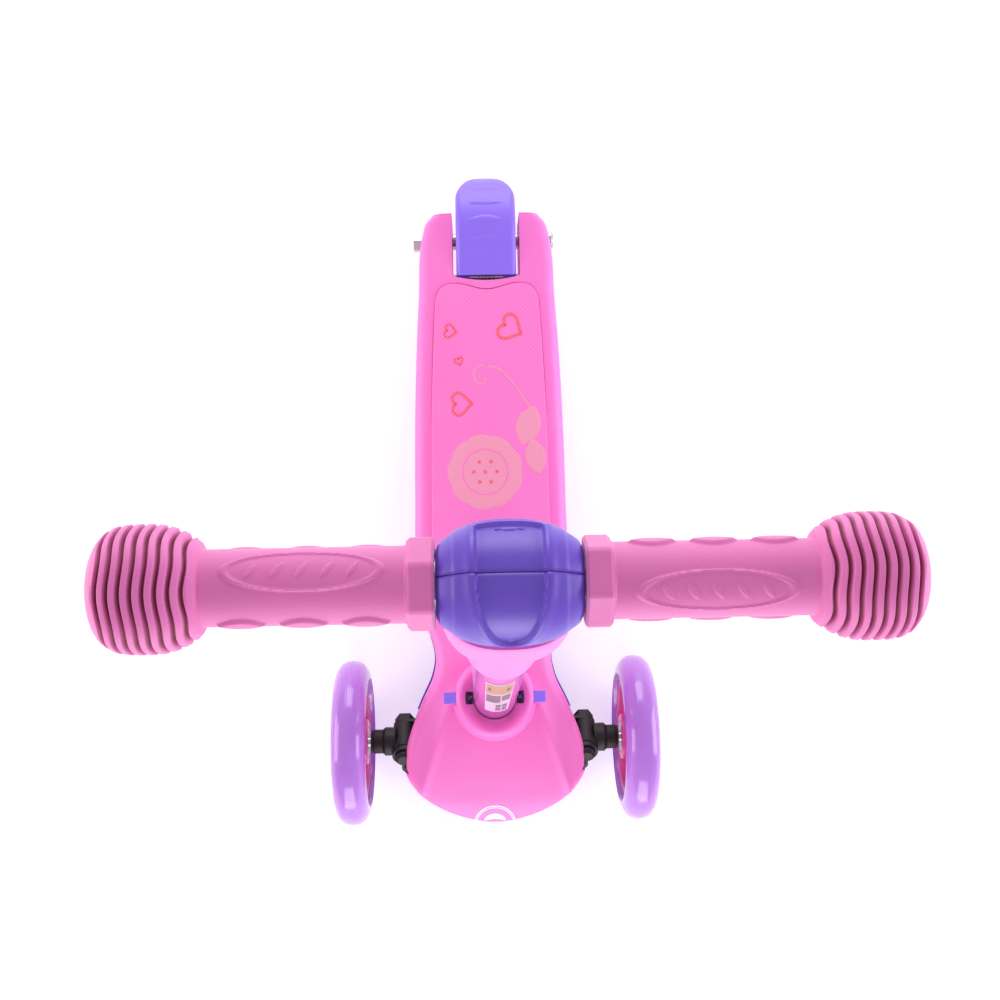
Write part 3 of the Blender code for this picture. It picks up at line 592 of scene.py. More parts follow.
# ------------------------------------------------------------------ deck
@dataclass
class Deck:
    """The moulded deck, its grip pad with prints, and the print on its nose."""

    layout: Layout
    nose_widest: float = -0.017
    nose_length: float = 0.0427
    rear: float = 0.389
    wall: float = 0.003
    slot_half: float = 0.0248
    slot_front: float = 0.3385
    pad_front: float = 0.094
    pad_rear: float = 0.3365
    pad_margin: float = 0.0123
    pad_corner: float = 0.012
    widths: list[tuple[float, float]] = field(default_factory=lambda: [
        (-0.017, 0.0665), (0.000, 0.0640), (0.016, 0.0586), (0.032, 0.0518), (0.047, 0.0448), (0.062, 0.0420),
        (0.075, 0.0445), (0.092, 0.0525), (0.115, 0.0553), (0.180, 0.0556), (0.250, 0.0542), (0.325, 0.0505),
        (0.376, 0.0464), (0.383, 0.0444), (0.389, 0.0395)])
    heights: list[tuple[float, float]] = field(default_factory=lambda: [
        (-0.060, 0.0665), (-0.050, 0.0735), (-0.030, 0.0815), (0.000, 0.0885), (0.035, 0.0920),
        (0.062, 0.0895), (0.095, 0.0810), (0.130, 0.0800), (0.340, 0.0800), (0.389, 0.0780)])

    def half_width(self, d: np.ndarray) -> np.ndarray:
        """Half width at a distance d behind the front axle: a superellipse nose, then a cubic curve."""
        t = np.clip((self.nose_widest - d) / self.nose_length, 0.0, 0.9995)
        nose = self.widths[0][1] * (1.0 - t**1.8) ** (1.0 / 1.8)
        return np.where(d < self.nose_widest, nose, hermite(self.widths, d))

    def base(self, d: np.ndarray) -> np.ndarray:
        """Height of the deck's lower rim: over the tray, along the middle, and at the rear arms."""
        middle = 0.062 - 0.012 * np.clip((d - 0.080) / 0.016, 0.0, 1.0)
        return middle - 0.020 * np.clip((d - 0.335) / 0.018, 0.0, 1.0)

    def crown(self, x: np.ndarray, d: np.ndarray) -> np.ndarray:
        """Height of the deck's top at x and d, without the rounding of its edges.

        The centre line's curve, less a shallow parabola to each side, plus the creases that run from the
        collar to the nose's corners and the soft hollow between them.
        """
        half = self.half_width(d)
        sag = 0.0026 * np.clip(np.abs(x) / half, 0, 1) ** 2 * np.minimum(1.0, half / 0.04)
        top = hermite(self.heights, d) - sag
        line = 0.0335 + (0.026 - d) * 0.33
        off = np.abs(x) - line
        fade = smooth_step(d, -0.050, -0.034) * (1.0 - smooth_step(d, 0.030, 0.050))
        return top + fade * (0.0016 * bump(off, 0.0030) - 0.0030 * smooth_step(off, 0.0, 0.014))

    def section(self, d: np.ndarray, inset: float, columns: int, floor: float | None = None) -> np.ndarray:
        """Closed cross-sections of the deck at the stations d.

        Args:
            d: Distances behind the front axle.
            inset: How far the section is drawn in all round.
            columns: Points from one lower rim over the top to the other.
            floor: The lower rim's height, when it isn't the deck's own.

        Returns:
            A grid with one row for each station.
        """
        half = np.maximum(self.half_width(d) - inset, 0.002)[:, None]
        low = (self.base(d) if floor is None else np.full_like(d, floor))[:, None]
        tall = hermite(self.heights, d)[:, None] - inset - low
        edge = np.minimum(0.0085, np.minimum(half * 0.7, tall * 0.45))
        s = np.linspace(-1.0, 1.0, columns)[None, :]
        side = np.abs(s)
        flat = np.clip(side / 0.62, 0.0, 1.0)
        turn = np.clip((side - 0.62) / 0.22, 0.0, 1.0) * math.pi / 2.0
        fall = np.clip((side - 0.84) / 0.16, 0.0, 1.0)
        x = np.sign(s) * (flat * (half - edge) + edge * np.sin(turn))
        top = self.crown(x, d[:, None]) - inset
        corner = top - edge * (1.0 - np.cos(turn))
        z = corner + (low - corner) * fall
        return coords(x, (d + self.layout.axle_y)[:, None], z)

    def build(self) -> None:
        """Build the shell, the pad, the prints and the tray."""
        self.shell()
        self.pad()
        self.prints()
        self.emblem()
        self.tray()

    def stations(self, start: float, end: float, count: int) -> np.ndarray:
        """Stations that crowd together towards the start, as the cosine of an even angle."""
        t = np.linspace(0.0, 1.0, count)
        return start + (end - start) * (0.35 * (1 - np.cos(t * math.pi / 2)) + 0.65 * t)

    def shell(self) -> None:
        """Cut the deck's hollow, wheel slot, pad recess, steering notches and stem bore from its solid."""
        d = np.concatenate([self.stations(-0.0594, 0.070, 120), np.linspace(0.0715, self.rear - 0.006, 130),
                            self.rear - 0.006 * np.cos(np.linspace(0.15, math.pi / 2, 8))])
        body = solid(self.section(d, 0.0, 121)).build("deck_moulding")
        cutters = []
        first, pitch, rib = 0.0885, 0.0490, 0.0025
        bays = [(-0.0555, 0.0860)]
        bays += [(first + i * pitch, first + (i + 1) * pitch - rib) for i in range(5)]
        for start, end in bays:
            cutters.append(solid(self.section(np.linspace(start, end, 24), self.wall, 41, floor=0.020)))
        x = np.linspace(-self.slot_half, self.slot_half, 25)
        front = coords(x, self.slot_front + 0.0035 * (x / self.slot_half) ** 2)
        behind = self.rear + 0.01
        outline = np.vstack([front, [[self.slot_half, behind], [-self.slot_half, behind]]])
        cutters.append(self.prism(outline, 0.010, 0.120))
        cutters += [self.notch(side, 0.050, -0.0215, 0.030, 0.0765) for side in (-1.0, 1.0)]
        cutters += [self.prism(self.pad_outline(-GAP), 0.0786, 0.090),
                    rod(Axes.along_x(*self.layout.rear_axle), 0.0424, -0.0160, 0.0160),
                    rod(self.layout.brake_pivot(), 0.0044, -0.0236, 0.0236),
                    rod(self.layout.stem, 0.0154, -0.0283, 0.03, 64)]
        combine(body, solid(turned(self.layout.stem, self.collar_profile(), 128)), "UNION")
        slot = np.array([[-0.040, -0.0045], [0.040, -0.0045], [0.040, 0.0045], [-0.040, 0.0045]])
        for cutter in cutters + [solid(self.layout.stem.world(lifted(slot, (0.0015, 0.0068))))]:
            combine(body, cutter)
        dress(shade(body, 38.0), PINK, "deck", "deck_shell")

    def collar_profile(self) -> np.ndarray:
        """Outline of the raised collar round the stem: a broad foot, a round ridge and a funnel inside."""
        corners = [(0.0, -0.031), (0.0195, -0.031), (0.0195, -0.012), (0.0305, -0.0085), (0.0286, 0.0045),
                   (0.0268, 0.0090), (0.0240, 0.0101), (0.0215, 0.0074), (0.0175, 0.0030), (0.0, 0.0030)]
        return rounded_profile(corners, 0.0030, 6, closed=False)[1:-1]

    def prism(self, outline: np.ndarray, low: float, high: float) -> Surface:
        """An upright prism over an outline of (x, d) points, between two heights."""
        return solid(lifted(outline + (0.0, self.layout.axle_y), (low, high)))

    def notch(self, side: float, inner: float, front: float, low: float, high: float) -> Surface:
        """The space for one front wheel's sleeve, from an inner edge outwards.

        Args:
            side: -1 for the left, 1 for the right.
            inner: Distance of its inner edge from the middle plane.
            front: Its front edge, behind the front axle.
            low: Its floor.
            high: Its roof.

        Returns:
            The cutter.
        """
        outer, back = 0.090, 0.0235
        outline = np.array([[inner, front], [outer, front], [outer, back], [inner, back]]) * (side, 1.0)
        return self.prism(outline[::int(side)], low, high)

    def pad_outline(self, inset: float) -> np.ndarray:
        """Outline of the grip pad: parallel to the deck's sides, round corners and a dip at the fender."""
        corner, off = self.pad_corner, self.pad_margin
        d = np.linspace(self.pad_front + corner, self.pad_rear - corner, 60)
        right = coords(self.half_width(d) - off - inset, d)
        turn = np.linspace(0.0, math.pi / 2, 12)[1:]
        edge_rear = float(self.half_width(np.array(self.pad_rear))) - off - corner
        edge_front = float(self.half_width(np.array(self.pad_front))) - off - corner
        reach = corner - inset
        rear = coords(edge_rear + reach * np.cos(turn), self.pad_rear - corner + reach * np.sin(turn))
        x = np.linspace(0.0235, -0.0235, 21)
        dip = coords(x, self.pad_rear - inset - 0.0045 * (0.5 + 0.5 * np.cos(x / 0.0235 * math.pi)))
        turn = turn[::-1][1:]
        front = coords(edge_front + reach * np.cos(turn), self.pad_front + corner - reach * np.sin(turn))
        lowest = np.array([[edge_front, self.pad_front + inset]])
        half = np.vstack([lowest, front, right, rear])
        mirrored = (half * (-1.0, 1.0))[::-1]
        return np.vstack([half, dip[1:-1], mirrored])

    def pad(self) -> None:
        """The pad: rings of its outline drawn in towards the middle, with a rolled edge."""
        rims = [(0.0004, 0.0790), (0.0004, 0.0802), (0.0007, 0.0806), (0.0012, 0.0808)]
        place = (0.0, self.layout.axle_y)
        rows = np.concatenate([lifted(self.pad_outline(inset) + place, (z,)) for inset, z in rims])
        piece = solid(rows).build("grip_pad_top", sharp=50.0)
        dress(piece, PAD, "deck", "deck_grip_pad")

    def laid(self, flat: np.ndarray, level: float, on_crown: bool, lift: float) -> np.ndarray:
        """Printed points (x, d) at a fixed height, or at a height over the deck's own top."""
        height = self.crown(flat[:, 0], flat[:, 1]) + level if on_crown else np.full(len(flat), level)
        return coords(flat[:, 0], flat[:, 1] + self.layout.axle_y, height + lift)

    def ribbon(self, name: str, path: np.ndarray, width: float, level: float, finish: Finish,
               closed: bool = False, on_crown: bool = False) -> None:
        """A thin printed line: a strip of a given width along a path, a hair above the surface.

        Args:
            name: The piece's name.
            path: Points (x, d).
            width: The line's width.
            level: Height of the surface, or the lift over it when on_crown is set.
            finish: The ink.
            closed: Whether the path comes back to its start.
            on_crown: Follow the deck's own top.
        """
        along = np.gradient(path, axis=0)
        if closed:
            along = np.roll(path, -1, axis=0) - np.roll(path, 1, axis=0)
        along /= np.maximum(np.linalg.norm(along, axis=1, keepdims=True), 1e-9)
        normal = coords(-along[:, 1], along[:, 0])
        points = np.stack([self.laid(path + normal * width * offset, level, on_crown, lift)
                           for offset, lift in ((-0.5, -INK), (-0.46, 0.0), (0.46, 0.0), (0.5, -INK))])
        if closed:
            points = np.concatenate([points, points[:, :1]], axis=1)
        under = points[::-1] - (0.0, 0.0, 0.0001)
        solid = np.concatenate([points, under], axis=0)
        piece = Surface().grid(np.swapaxes(solid, 0, 1), wrap=True, caps=not closed).build(name, sharp=60.0)
        dress(piece, finish, "deck")

    def patch(self, name: str, outline: np.ndarray, level: float, finish: Finish,
              on_crown: bool = False) -> None:
        """A thin printed area inside an outline of (x, d) points: rings shrinking to its middle."""
        middle = outline.mean(axis=0)
        rows = [self.laid(middle + (outline - middle) * share, level, on_crown, -INK if share == 1.0 else 0.0)
                for share in (1.0, 0.985, 0.8, 0.6, 0.4, 0.2, 0.02)]
        rows = [rows[-1] - (0.0, 0.0, 0.00022)] + [rows[0] - (0.0, 0.0, 0.0001)] + rows
        dress(solid(np.stack(rows)).build(name, sharp=60.0), finish, "deck")

    def prints(self) -> None:
        """Four outlined hearts, a scalloped blossom, two leaves and a curling tendril."""
        level = PAD_LEVEL
        hearts = (("large", 0.0165, 0.303, 0.0205, 1.05), ("small", -0.0275, 0.301, 0.0105, 1.35),
                  ("tiny", -0.0215, 0.279, 0.0066, 0.35), ("middle", -0.0205, 0.2475, 0.0178, 1.60))
        for word, x, d, size, lean in hearts:
            self.ribbon("heart_" + word, self.heart(x, d, size, lean), 0.0009 + size * 0.075, level,
                        HEART_PRINT, True)
        turn = np.linspace(0.0, TAU, 181)[:-1]
        reach = 0.0262 * (1.0 + 0.055 * np.abs(np.sin(turn * 4.5)) ** 0.8)
        centre = np.array([-0.0035, 0.1975])
        self.patch("blossom_petals", centre + circle(turn, reach), level - 0.00004, PAD_PRINT)
        self.ribbon("blossom_ring", centre + circle(turn, 0.0165), 0.0009, level + 0.00006, PAD, True)
        seeds = np.vstack([centre, centre + circle(np.arange(6) * TAU / 6, 0.0085)])
        for i, seed in enumerate(seeds):
            self.patch(f"blossom_seed_{i}", seed + circle(turn[::9], 0.0013), level + 0.00008, HEART_PRINT)
        t = np.linspace(0.0, 1.0, 120)
        curl = 4.6 * t**0.85
        stalk = coords(0.0300 - 0.036 * t, 0.2440 + 0.031 * np.sin(t * 1.9))
        radius = 0.0088 * (1.0 - t) ** 0.9 + 0.0006
        spiral = coords(-0.0035 - radius * np.sin(curl), 0.2665 + radius * np.cos(curl))
        self.ribbon("tendril_stalk", stalk[:100], 0.0013, level, PAD_PRINT)
        self.ribbon("tendril_curl", spiral, 0.0013, level + 0.00003, PAD_PRINT)
        along = np.linspace(0.0, 1.0, 40)
        edge = coords(along - 0.5, 0.30 * np.sin(along * math.pi) ** 0.8)
        leaf = np.concatenate([edge, (edge * (1.0, -1.0))[::-1][1:-1]])
        for word, x, d, size, aim in (("upper", 0.0285, 0.2310, 0.030, 1.25),
                                      ("lower", 0.0335, 0.2080, 0.026, 1.75)):
            place = np.array([x, d])
            self.patch("leaf_" + word, place + leaned(size * leaf, aim), level - 0.00002, PAD_PRINT)

    @staticmethod
    def heart(x: float, d: float, size: float, lean: float) -> np.ndarray:
        """A heart's outline: the sixteen sin cubed curve, its two cusps rounded, scaled and leaned over."""
        t = np.linspace(0.0, TAU, 721)
        lobes = 13 * np.cos(t) - 5 * np.cos(2 * t) - 2 * np.cos(3 * t) - np.cos(4 * t)
        shape = coords(16 * np.sin(t) ** 3, lobes) / 34.0
        run = np.concatenate([[0.0], np.cumsum(np.linalg.norm(np.diff(shape, axis=0), axis=1))])
        even = np.linspace(0.0, run[-1], 97)[:-1]
        shape = coords(np.interp(even, run, shape[:, 0]), np.interp(even, run, shape[:, 1]))
        shape = sum(np.roll(shape, k, axis=0) for k in range(-3, 4)) / 7.0
        return np.array([x, d]) + leaned(size * shape, lean)

    def emblem(self) -> None:
        """A generic round print on the nose: two rings and a disc, cut off by the nose's edge."""
        centre = np.array([-0.001, -0.0612])
        for word, radius, width, share in (("outer", 0.0150, 0.0008, 0.425),
                                           ("inner", 0.0136, 0.0006, 0.418)):
            turn = np.linspace(math.pi * (0.5 - share), math.pi * (0.5 + share), 90)
            path = centre + circle(turn, radius)
            self.ribbon("nose_ring_" + word, path, width, INK, WHITE_INK, on_crown=True)
        disc = centre + circle(np.linspace(math.pi * 0.115, math.pi * 0.885, 60), 0.0088)
        self.patch("nose_disc", disc, INK, WHITE_INK, on_crown=True)

    def tray(self) -> None:
        """The purple tray below the nose: hollow above, a rolled lower edge, notches for the axles."""
        d = np.concatenate([self.nose_widest - self.nose_length * np.sin(np.linspace(math.pi / 2, 0.0, 40)),
                            np.linspace(-0.016, 0.0770, 60)])
        half = self.half_width(d)

        def loop(z: float, inset: float) -> np.ndarray:
            """The tray's outline at a height, drawn in by inset."""
            wide = np.maximum(half + 0.0013 - inset, 0.002)
            back = np.clip(d, -0.0599 + inset, 0.077 - inset) + self.layout.axle_y
            right = coords(wide, back, z)
            return np.concatenate([right, (right * (-1.0, 1.0, 1.0))[::-1]], axis=0)

        outside = ((0.0380, 0.0060), (0.0383, 0.0040), (0.0394, 0.0019), (0.0412, 0.0006), (0.0440, 0.0),
                   (0.0617, 0.0))
        inside = ((0.0617, 0.0026), (0.0440, 0.0026), (0.0412, 0.0040), (0.0405, 0.0070))
        body = solid(np.stack([loop(z, inset) for z, inset in outside + inside])).build("tray_moulding")
        for side in (-1.0, 1.0):
            combine(body, self.notch(side, 0.044, -0.0300, 0.0402, 0.070))
        dress(shade(body, 38.0), PURPLE, "deck", "under_tray")


# ------------------------------------------------------------------ wheels
@dataclass
class Wheel:
    """One wheel: clear tyre and spoked or dished core."""

    word: str
    body: str
    centre: np.ndarray
    radius: float
    width: float
    seat: float
    spokes: int
    sweep: float = 0.75
    side: float = 1.0

    def build(self) -> None:
        """Build tyre and core."""
        self.tyre()
        self.core()

    def tyre(self) -> None:
        """The tyre: an elliptical tread over a flat seat, with a fine moulding line round its middle."""
        t = np.linspace(-1.0, 1.0, 61)
        half, depth = self.width / 2.0, self.radius - self.seat
        radius = self.seat + 0.0012 + (depth - 0.0012) * np.sqrt(np.clip(1.0 - t**2, 0.0, 1.0))
        height = half * np.sign(t) * np.abs(t) ** 0.85
        tread = coords(radius, height)
        tread[:, 0] += 0.00012 * bump(height, 0.0003) - 0.00012
        lip = half * 0.80
        profile = np.vstack([[[self.seat, -lip]], tread, [[self.seat, lip]], [[self.seat, -lip]]])
        grid = closed_turn(Axes.axle(self.centre, self.side), profile, 160)
        piece = Surface().grid(grid).build(self.word + "_clear_tyre", 50.0)
        dress(piece, TYRE, self.body, self.word + "_tyre")

    def core(self) -> None:
        """The core: rounded rim and hub, and either swept spokes or a dished web."""
        axes, rim, seat = Axes.axle(self.centre, self.side), self.seat - GAP, BEARING_SEAT
        surface = Surface()
        outlines = [[(rim - 0.0070, -0.0090), (rim, -0.0090), (rim, 0.0090), (rim - 0.0070, 0.0090)],
                    [(seat, -0.0110), (0.0165, -0.0110), (0.0165, 0.0110), (seat, 0.0110)]]
        if not self.spokes:
            lower = [(seat, -0.0105), (0.0150, -0.0105), (0.0158, -0.0060), (0.0222, -0.0060),
                     (0.0236, -0.0088), (rim, -0.0088)]
            outlines = [lower + [(radius, -z) for radius, z in reversed(lower)]]
        for outline in outlines:
            surface.grid(closed_turn(axes, rounded_profile(outline, 0.0014), 128))
        for i in range(self.spokes):
            surface.grid(self.spoke(axes, i * TAU / self.spokes, rim), wrap=True, caps=True)
        piece = surface.build(self.word + "_moulded_core", 45.0)
        dress(piece, CORE, self.body, self.word + "_wheel_core")

    def spoke(self, axes: Axes, start: float, rim: float) -> np.ndarray:
        """A swept spoke: a rounded oblong section carried outwards while its angle turns.

        Args:
            axes: The wheel's frame.
            start: Angle of its root.
            rim: The core's outer radius.

        Returns:
            A grid with one row for each section.
        """
        t = np.linspace(0.0, 1.0, 22)[:, None]
        radius = 0.0145 + (rim - 0.0055 - 0.0145) * t
        angle = start + self.side * self.sweep * t**1.3
        across, thick = superellipse(np.linspace(0.0, TAU, 25)[None, :-1], 0.45)
        half = 0.0036 + 0.0020 * (2.0 * t - 1.0) ** 2
        x = radius * np.cos(angle) - np.sin(angle) * half * across
        y = radius * np.sin(angle) + np.cos(angle) * half * across
        return axes.world(coords(x, y, (0.0052 - 0.0008 * t) * thick))


def closed_turn(axes: Axes, profile: np.ndarray, columns: int) -> np.ndarray:
    """Turn a closed profile with the first column repeated at the end, so that doubles merge into a ring."""
    grid = turned(axes, profile, columns)
    return np.concatenate([grid, grid[:, :1]], axis=1)


def tube_profile(inner: float, outer: float, half: float, rounding: float) -> np.ndarray:
    """Closed outline of a short tube: its two radii, half its length and its corners' rounding."""
    return rounded_profile([(inner, -half), (outer, -half), (outer, half), (inner, half)], rounding)


def ring(name: str, axes: Axes, corners: list[tuple[float, float]], finish: Finish, body: str, *nodes: str,
         rounding: float = 0.0008, columns: int = 96) -> bpy.types.Object:
    """A turned piece with rounded corners, from a closed (radius, height) outline.

    Args:
        name: The piece's name.
        axes: Its frame.
        corners: The outline's corners.
        finish: Its finish.
        body: The body it rides on.
        nodes: CAD nodes it stands for.
        rounding: How far the corners are rounded.
        columns: Points round the turn.

    Returns:
        The piece.
    """
    grid = closed_turn(axes, rounded_profile(corners, rounding), columns)
    return dress(Surface().grid(grid).build(name), finish, body, *nodes)


def solid_ring(name: str, axes: Axes, corners: list[tuple[float, float]], finish: Finish, body: str,
               *nodes: str, rounding: float = 0.0008, columns: int = 96) -> bpy.types.Object:
    """A turned piece whose outline starts and ends on the axis; takes what ring takes."""
    profile = rounded_profile(corners, rounding, closed=False)
    grid = turned(axes, profile[1:-1], columns)
    return dress(solid(grid).build(name), finish, body, *nodes)


# ------------------------------------------------------------------ steering
@dataclass
class Steering:
    """Black knuckles with their axle sleeves, kingpin heads and bolts."""

    layout: Layout
    arm: float = 0.020
    arm_x: float = 0.064

    def build(self) -> None:
        """Build both sides."""
        for side, word in ((-1.0, "left"), (1.0, "right")):
            self.knuckle(side, word)
            self.bolt(side, word)

    def knuckle(self, side: float, word: str) -> None:
        """The knuckle: boss, arm, flared root and a sleeve with grooves, as closed shapes that overlap."""
        along = self.layout.kingpin
        axes = Axes(self.layout.steer[word], ACROSS, np.cross(along, ACROSS), along)
        surface = Surface().grid(closed_turn(axes, tube_profile(0.0043, 0.0092, 0.0110, 0.0010), 72))
        axle = Axes.axle(self.layout.steer[word], side)
        sleeve = [(0.0044, 0.0060), (0.0100, 0.0060), (0.0104, 0.0105), (0.0104, 0.0140), (0.0090, 0.0152),
                  (0.00875, 0.0160), (0.00875, 0.0224), (0.0082, 0.0228), (0.0082, 0.0236), (0.00875, 0.0240),
                  (0.00860, 0.0243), (0.0044, 0.0243)]
        surface.grid(closed_turn(axle, rounded_profile(sleeve, 0.0005, 4), 96))
        x = self.arm_x * side - self.layout.steer[word][0]
        t = np.linspace(0.0, 1.0, 16)[:, None]
        reach, thick = superellipse(np.linspace(0.0, TAU, 33)[None, :-1], 0.4)
        arm = coords(x + reach * 0.0042, -self.arm * t + 0.001, thick * 0.0029)
        surface.grid(axes.world(arm), wrap=True, caps=True)
        eye = tube_profile(0.0025, 0.0050, 0.0031, 0.0006)
        surface.grid(closed_turn(axes.at(x, -self.arm, 0.0), eye, 48))
        dress(surface.build("knuckle_moulding_" + word), BLACK, "knuckle_" + word, "knuckle_" + word)
        head = [(0.0, -0.0225), (0.0040, -0.0225), (0.0040, 0.0150), (0.0066, 0.0150), (0.0066, 0.0172),
                (0.0048, 0.0192), (0.0, 0.0198)]
        solid_ring("kingpin_bolt_" + word, axes, head, BLACK, "deck", "kingpin_" + word)

    def bolt(self, side: float, word: str) -> None:
        """The axle bolt, whose dome head shows in the wheel's middle."""
        axes = Axes.axle(self.layout.wheel(side), side)
        profile = [(0.0, -0.0280), (0.0040, -0.0280), (0.0040, 0.0114), (0.0068, 0.0114), (0.0068, 0.0126),
                   (0.0052, 0.0141), (0.0, 0.0146)]
        solid_ring("axle_bolt_" + word, axes, profile, STEEL, "knuckle_" + word, word + "_axle_bolt")


# ------------------------------------------------------------------ brake
@dataclass
class Brake:
    """The foot brake's fender with four lens-shaped marks."""

    layout: Layout
    width: float = 0.0440
    wall: float = 0.0024
    arch: float = 0.0470
    front: float = 0.3425
    top: float = 0.376

    def build(self) -> None:
        """The fender: a section that bends over the wheel, thickened inwards."""
        t = np.linspace(0.0, 1.0, 150)
        flat = 0.34
        d = np.where(t < flat, self.front + (self.top - self.front) * t / flat, 0.0)
        turn = np.clip((t - flat) / (1.0 - flat), 0.0, 1.0) * math.asin(0.0464 / self.arch)
        d = np.where(t < flat, d, self.top + self.arch * np.sin(turn))
        rise = 0.0870 - 0.0068 * np.clip((self.top - d) / 0.0335, 0.0, 1.0) ** 1.6
        back = np.where(t < flat, rise, self.layout.rear_axle[1] + self.arch * np.cos(turn))
        past = np.clip(d - 0.4020, 0.0, 1.0) / 0.0212
        full = self.width / 2.0 * np.sqrt(np.clip(1.0 - past**2, 0.03, 1.0))
        skirt = 0.0034 + 0.0101 * np.clip((full - 0.0160) / 0.0050, 0.0, 1.0)
        outer = self.sheet(d, back, turn, full, skirt, 0.0)
        inner = self.sheet(d, back, turn, full, skirt, self.wall)
        loop = np.concatenate([outer, inner[:, ::-1]], axis=1)
        piece = Surface().grid(loop, wrap=True, caps=False)
        piece.grid(np.stack([outer[0], inner[0]])).grid(np.stack([outer[-1], inner[-1]]))
        for lug in self.lugs():
            piece.grid(lug, wrap=True, caps=True)
        dress(piece.build("fender_moulding", 42.0), PURPLE_PAINTED_LIGHTER, "brake", "brake_fender")

    def sheet(self, d: np.ndarray, back: np.ndarray, turn: np.ndarray, full: np.ndarray, skirt: np.ndarray,
              inset: float) -> np.ndarray:
        """One face of the fender: flat across its back, a rounded shoulder, then the skirt.

        Args:
            d: Stations behind the front axle.
            back: Height of the back's middle.
            turn: How far the section has tipped rearward.
            full: Half width.
            skirt: How far the skirts hang.
            inset: Distance inside the outer face.

        Returns:
            A grid with one row for each station.
        """
        s = np.linspace(-1.0, 1.0, 81)[None, :]
        side = np.abs(s)
        half = np.maximum(full[:, None] - inset, 0.0005)
        edge = np.minimum(0.0040, half * 0.6)
        bend = np.clip((side - 0.60) / 0.22, 0.0, 1.0) * math.pi / 2.0
        fall = np.clip((side - 0.82) / 0.18, 0.0, 1.0)
        x = np.sign(s) * (np.clip(side / 0.60, 0.0, 1.0) * (half - edge) + edge * np.sin(bend))
        shoulder = np.minimum(edge, skirt[:, None] * 0.8)
        drop = -inset - 0.0006 * (x / 0.022) ** 2 - shoulder * (1.0 - np.cos(bend))
        drop = drop + fall * (-np.maximum(skirt[:, None], 0.0001) - drop)
        if inset == 0.0:
            for mark in (0.3675, 0.3825, 0.3960, 0.4085):
                drop = drop + 0.00055 * lens_mark(x, (d[:, None] - mark) + 6.0 * x**2, 0.0265, 0.0052)
        y = self.layout.axle_y + d[:, None] + drop * np.sin(turn)[:, None]
        z = back[:, None] + drop * np.cos(turn)[:, None]
        return coords(x, y, z)

    def lugs(self) -> list[np.ndarray]:
        """The barrels that carry the pivot pin, one inside each skirt."""
        axes = self.layout.brake_pivot()
        section = ((0.0, 0.0), (0.0135, 0.0), (0.0135, 0.0100), (0.0, 0.0100))
        barrels = []
        for side in (-1.0, 1.0):
            barrels.append(turned(axes, np.array([[0.0034, side * 0.0125], [0.0034, side * 0.0219]]), 40))
            block = [[[side * x, y, z] for y, z in section] for x in (0.0194, 0.0218)]
            barrels.append(axes.origin + np.array(block))
        return barrels


